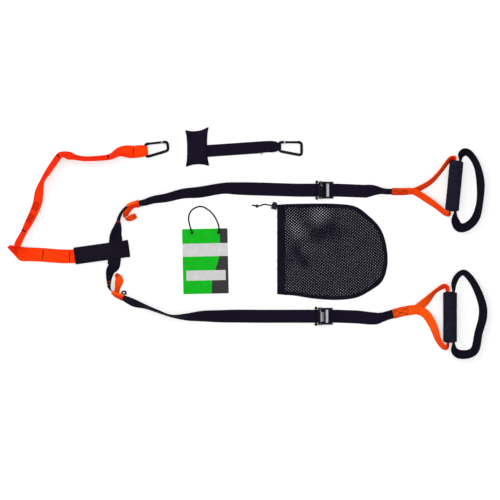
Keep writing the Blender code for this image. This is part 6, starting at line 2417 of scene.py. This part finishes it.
def cord_curve(name: str, points: list[Vector], radius: float, finish: ThreadFinish) -> Piece:
    """A round cord as a curve through its points.

    Args:
        name: The piece's name.
        points: The cord's centreline.
        radius: Its radius.
        finish: What it is dressed in.

    Returns:
        The piece.
    """
    data = bpy.data.curves.new(name, "CURVE")
    data.dimensions = "3D"
    data.bevel_depth = radius
    data.bevel_resolution = 4
    data.resolution_u = 4
    data.use_fill_caps = True
    spline = data.splines.new("POLY")
    spline.points.add(len(points) - 1)
    for entry, point in zip(spline.points, points):
        entry.co = (*point, 1.0)
    spline.use_smooth = True
    return link_piece(name, data, finish)


@dataclass(frozen=True)
class CardFinish(Finish):
    """Printed card: a green field, a grey field beside it, a pale band and a pale box, all plain."""

    x: float
    y: float
    turn: float
    width: float
    length: float
    green: Colour = (0.0040, 0.420, 0.0100)
    grey: Colour = (0.036, 0.034, 0.036)
    pale: Colour = (0.56, 0.56, 0.56)
    bow: tuple[Spot, ...] = ((0.20, 0.140), (0.376, 0.218), (0.55, 0.300), (0.70, 0.322))
    bow_ends: tuple[Spot, Spot] = ((0.0, 0.128), (1.0, 0.322))
    band: Spot = (0.575, 0.775)
    box: tuple[Spot, Spot] = ((0.206, 0.360), (-0.424, 0.440))

    def paint(self, sketch: Sketch) -> None:
        """Print the plain fields on the card.

        Args:
            sketch: The material's nodes.
        """
        moved = sketch.fill(sketch.add("Mapping", vector_type="TEXTURE"), Vector=sketch.place(),
                            Location=at(self.x, self.y), Rotation=(0.0, 0.0, math.radians(self.turn)))
        x, y, _ = sketch.parts(moved.outputs[0])
        across = sketch.math("DIVIDE", x, self.width)
        up = sketch.math("ADD", sketch.math("DIVIDE", y, self.length), 0.5)
        bow = sketch.add("FloatCurve")
        line = bow.mapping.curves[0]
        for place, value in self.bow:
            line.points.new(place, value)
        line.points[0].location, line.points[-1].location = self.bow_ends
        bow.mapping.update()
        sketch.fill(bow, Value=up)
        colour = sketch.mix(sketch.math("GREATER_THAN", across, bow.outputs[0]), self.green, self.grey)
        box = sketch.times(between(sketch, up, *self.box[0]), between(sketch, across, *self.box[1]))
        colour = sketch.mix(sketch.math("MAXIMUM", between(sketch, up, *self.band), box), colour, self.pale)
        rubbed = apply_effect(sketch, Effect.GRAIN, Scale=700.0, Broad_Share=1.4)
        worn = sketch.ramp(rubbed["Mask"], 0.18, 0.5)
        tone = sketch.fill(sketch.add("HueSaturation"), Color=colour, Value=sketch.fit(worn, 0.10, 0.95))
        rough = sketch.fit(worn, 0.12, 0.42)
        sketch.fill(sketch.shader, Base_Color=tone.outputs[0], Roughness=rough, Specular_IOR_Level=0.05)
        sketch.bump(rubbed["Height"], 0.00003, 0.3)


@dataclass
class DoorCard:
    """The plain door card and the cord it hangs from."""

    x: float = -0.12265
    y: float = -0.0529375
    turn: float = 1.2
    width: float = 0.125
    length: float = 0.179
    thickness: float = 0.001
    holes: tuple[Spot, ...] = ((-0.28378, 0.44286), (0.29909, 0.43434))
    cord: float = 0.0040

    def build(self) -> None:
        """Dress the card and make its cord."""
        finish = CardFinish("printed_card", "card", self.x, self.y, self.turn, self.width, self.length)
        dress("door_card", finish, 0.0001)
        radius = self.cord / 2
        size = radius * 1.8
        points = [at(*row) for row in smooth_rows(list(CARD_CORD_POINTS), 2)]
        shifts = []
        knots = []
        for index, (x, y) in enumerate(self.holes):
            spot = at(self.x, self.y) + spun(self.turn, Vector((x * self.width, y * self.length, 0.0)))
            shifts.append(spot - points[-index])
            bm = knot_mesh(spot + UP * (self.thickness + size * 0.86), size, 0.7 + index)
            bar_mesh([spot + UP * 0.0004, spot + UP * (self.thickness + size * 0.5)], radius, 12, bm=bm)
            knots.append(finish_mesh(f"card_cord_knot_{index}", bm, BLACK_CORD, 80.0))
        middle = (len(points) - 1) / 2
        moved = []
        for i, point in enumerate(points):
            shift = shifts[0 if i < middle else 1] * (abs(i - middle) / middle)
            moved.append(point + Vector((shift.x, shift.y, 0.0)))
        cord = ride(cord_curve("card_cord_loop", moved, radius, BLACK_CORD), "door_card_cord")
        for piece in knots:
            ride(piece)


@dataclass
class Studio:
    """Camera straight above, soft overhead light and a plain pale floor."""

    frame_width: float = 1.375
    camera_height: float = 7.0
    sensor: float = 36.0
    shift: Spot = (0.00484, -0.0201)
    lamps: tuple[tuple[str, Place, float, float], ...] = (
        ("overhead", (0.0, 0.2, 2.4), 2.6, 26.0), ("upper_left", (-1.6, 1.3, 1.5), 1.4, 14.0),
    )
    world_light: float = 0.72
    floor_size: float = 12.0
    floor_level: float = -0.0004
    floor_grey: float = 0.55
    floor_glow: float = 0.52

    def build(self) -> None:
        """Set up the camera, the lamps, the world and the floor."""
        self.set_camera()
        self.set_lamps()
        self.set_world()
        self.set_floor()
        bpy.context.scene.view_settings.view_transform = "Standard"
        LOG.info("studio is ready")

    def set_camera(self) -> None:
        """A long lens that looks straight down at the photograph's frame."""
        data = bpy.data.cameras.new("camera")
        data.sensor_width = self.sensor
        data.lens = self.sensor * self.camera_height / self.frame_width
        data.clip_start = 0.05
        data.clip_end = 50.0
        camera = linked("camera", data)
        camera.location = (*self.shift, self.camera_height)
        bpy.context.scene.camera = camera

    def set_lamps(self) -> None:
        """A broad soft lamp overhead and a weaker one from the upper left."""
        for name, place, size, power in self.lamps:
            data = bpy.data.lights.new(name, "AREA")
            data.shape = "SQUARE"
            data.size = size
            data.energy = power
            lamp = linked(name, data)
            lamp.location = place
            lamp.rotation_euler = Vector(place).to_track_quat("Z", "Y").to_euler()

    def set_world(self) -> None:
        """White where the camera, gloss and glass see it, softer as light."""
        world = bpy.data.worlds.new("studio")
        world.use_nodes = True
        sketch = Sketch(world.node_tree)
        strength = self.seen(sketch, self.world_light, 1.0)
        sketch.fill(world.node_tree.nodes["Background"], Color=(1.0, 1.0, 1.0), Strength=strength)
        bpy.context.scene.world = world

    def seen(self, sketch: Sketch, unseen: float, seen: float) -> Socket:
        """A value that depends on what looks at the surface.

        Args:
            sketch: The nodes.
            unseen: The value for light that falls elsewhere.
            seen: The value for rays of the camera, gloss and glass.

        Returns:
            The value.
        """
        path = sketch.add("LightPath").outputs
        ray = sketch.math("MAXIMUM", path["Is Camera Ray"], path["Is Glossy Ray"])
        ray = sketch.math("MAXIMUM", ray, path["Is Transmission Ray"])
        return sketch.fit(ray, seen - unseen, unseen)

    def set_floor(self) -> None:
        """A white floor that keeps the object's shadow faintly."""
        bm = bmesh.new()
        bmesh.ops.create_grid(bm, x_segments=1, y_segments=1, size=self.floor_size / 2)
        data = bpy.data.meshes.new("floor")
        bm.to_mesh(data)
        bm.free()
        floor = linked("floor", data)
        floor.location.z = self.floor_level
        material = bpy.data.materials.new("pale_floor")
        material.use_nodes = True
        sketch = Sketch(material.node_tree)
        glow = self.seen(sketch, 0.0, self.floor_glow)
        sketch.fill(sketch.shader, Base_Color=(self.floor_grey,) * 3, Roughness=0.9, Specular_IOR_Level=0.0,
                    Emission_Color=(1.0, 1.0, 1.0), Emission_Strength=glow)
        data.materials.append(material)


def tail_loop(centre: Vector) -> None:
    """The small black loop at the lower tail's edge.

    Args:
        centre: Its middle.
    """
    ring = ring_of(centre, Vector((0.0056, 0.0, 0.0)), Vector((0.0, 0.0044, 0.0)), 1.0, 24)
    ride(finish_mesh("lower_tail_loop", bar_mesh(ring, 0.0023, 10, closed=True), BLACK_CORD))


def main() -> None:
    """Build every sub-assembly in order."""
    logging.basicConfig(level=logging.INFO, format="%(message)s")
    Studio().build()
    main_carabiner = Carabiner("main", -0.286688, 0.251075, 6.0, False, 0.66, 0.84)
    door_carabiner = Carabiner("door", 0.07975, 0.261937, 0.0, True, 0.39, 0.86)
    sleeve = Sleeve()
    DoorCard().build()
    CarryBag().build()
    lower_seam, upper_seam = MainStrap(sleeve).build()
    AnchorStrap(main_carabiner, sleeve).build()
    sleeve.build()
    upper_arm = Arm("upper", 0.204875, 0.14245, UPPER_ARM_STOPS, UPPER_LEAD_STOPS, UPPER_PULL_STOPS,
                    0.055, 1, LEVER_METAL)
    # The lower lever's metal carries a painted reflection in its cam window.
    lower_arm = Arm("lower", 0.2028125, -0.20405, LOWER_ARM_STOPS, LOWER_LEAD_STOPS, LOWER_PULL_STOPS,
                    0.030, -1, LEVER_METAL_PAINTED_REFLECTION)
    for arm, seam in ((upper_arm, upper_seam), (lower_arm, lower_seam)):
        arm.build(seam)
        arm.lead()
    tail_loop(at(-0.3466, -0.1396, 0.0023))
    Handle("upper", 0.560175, 0.153725, -5.5, UPPER_YOKE_OUT_STOPS, UPPER_YOKE_BACK_STOPS,
           UPPER_CRADLE_STOPS).build()
    Handle("lower", 0.548625, -0.20625, 0.0, LOWER_YOKE_OUT_STOPS, LOWER_YOKE_BACK_STOPS,
           LOWER_CRADLE_STOPS).build()
    main_carabiner.build()
    door_carabiner.build()
    DoorAnchor(door_carabiner).build()


if __name__ == "__main__":
    main()
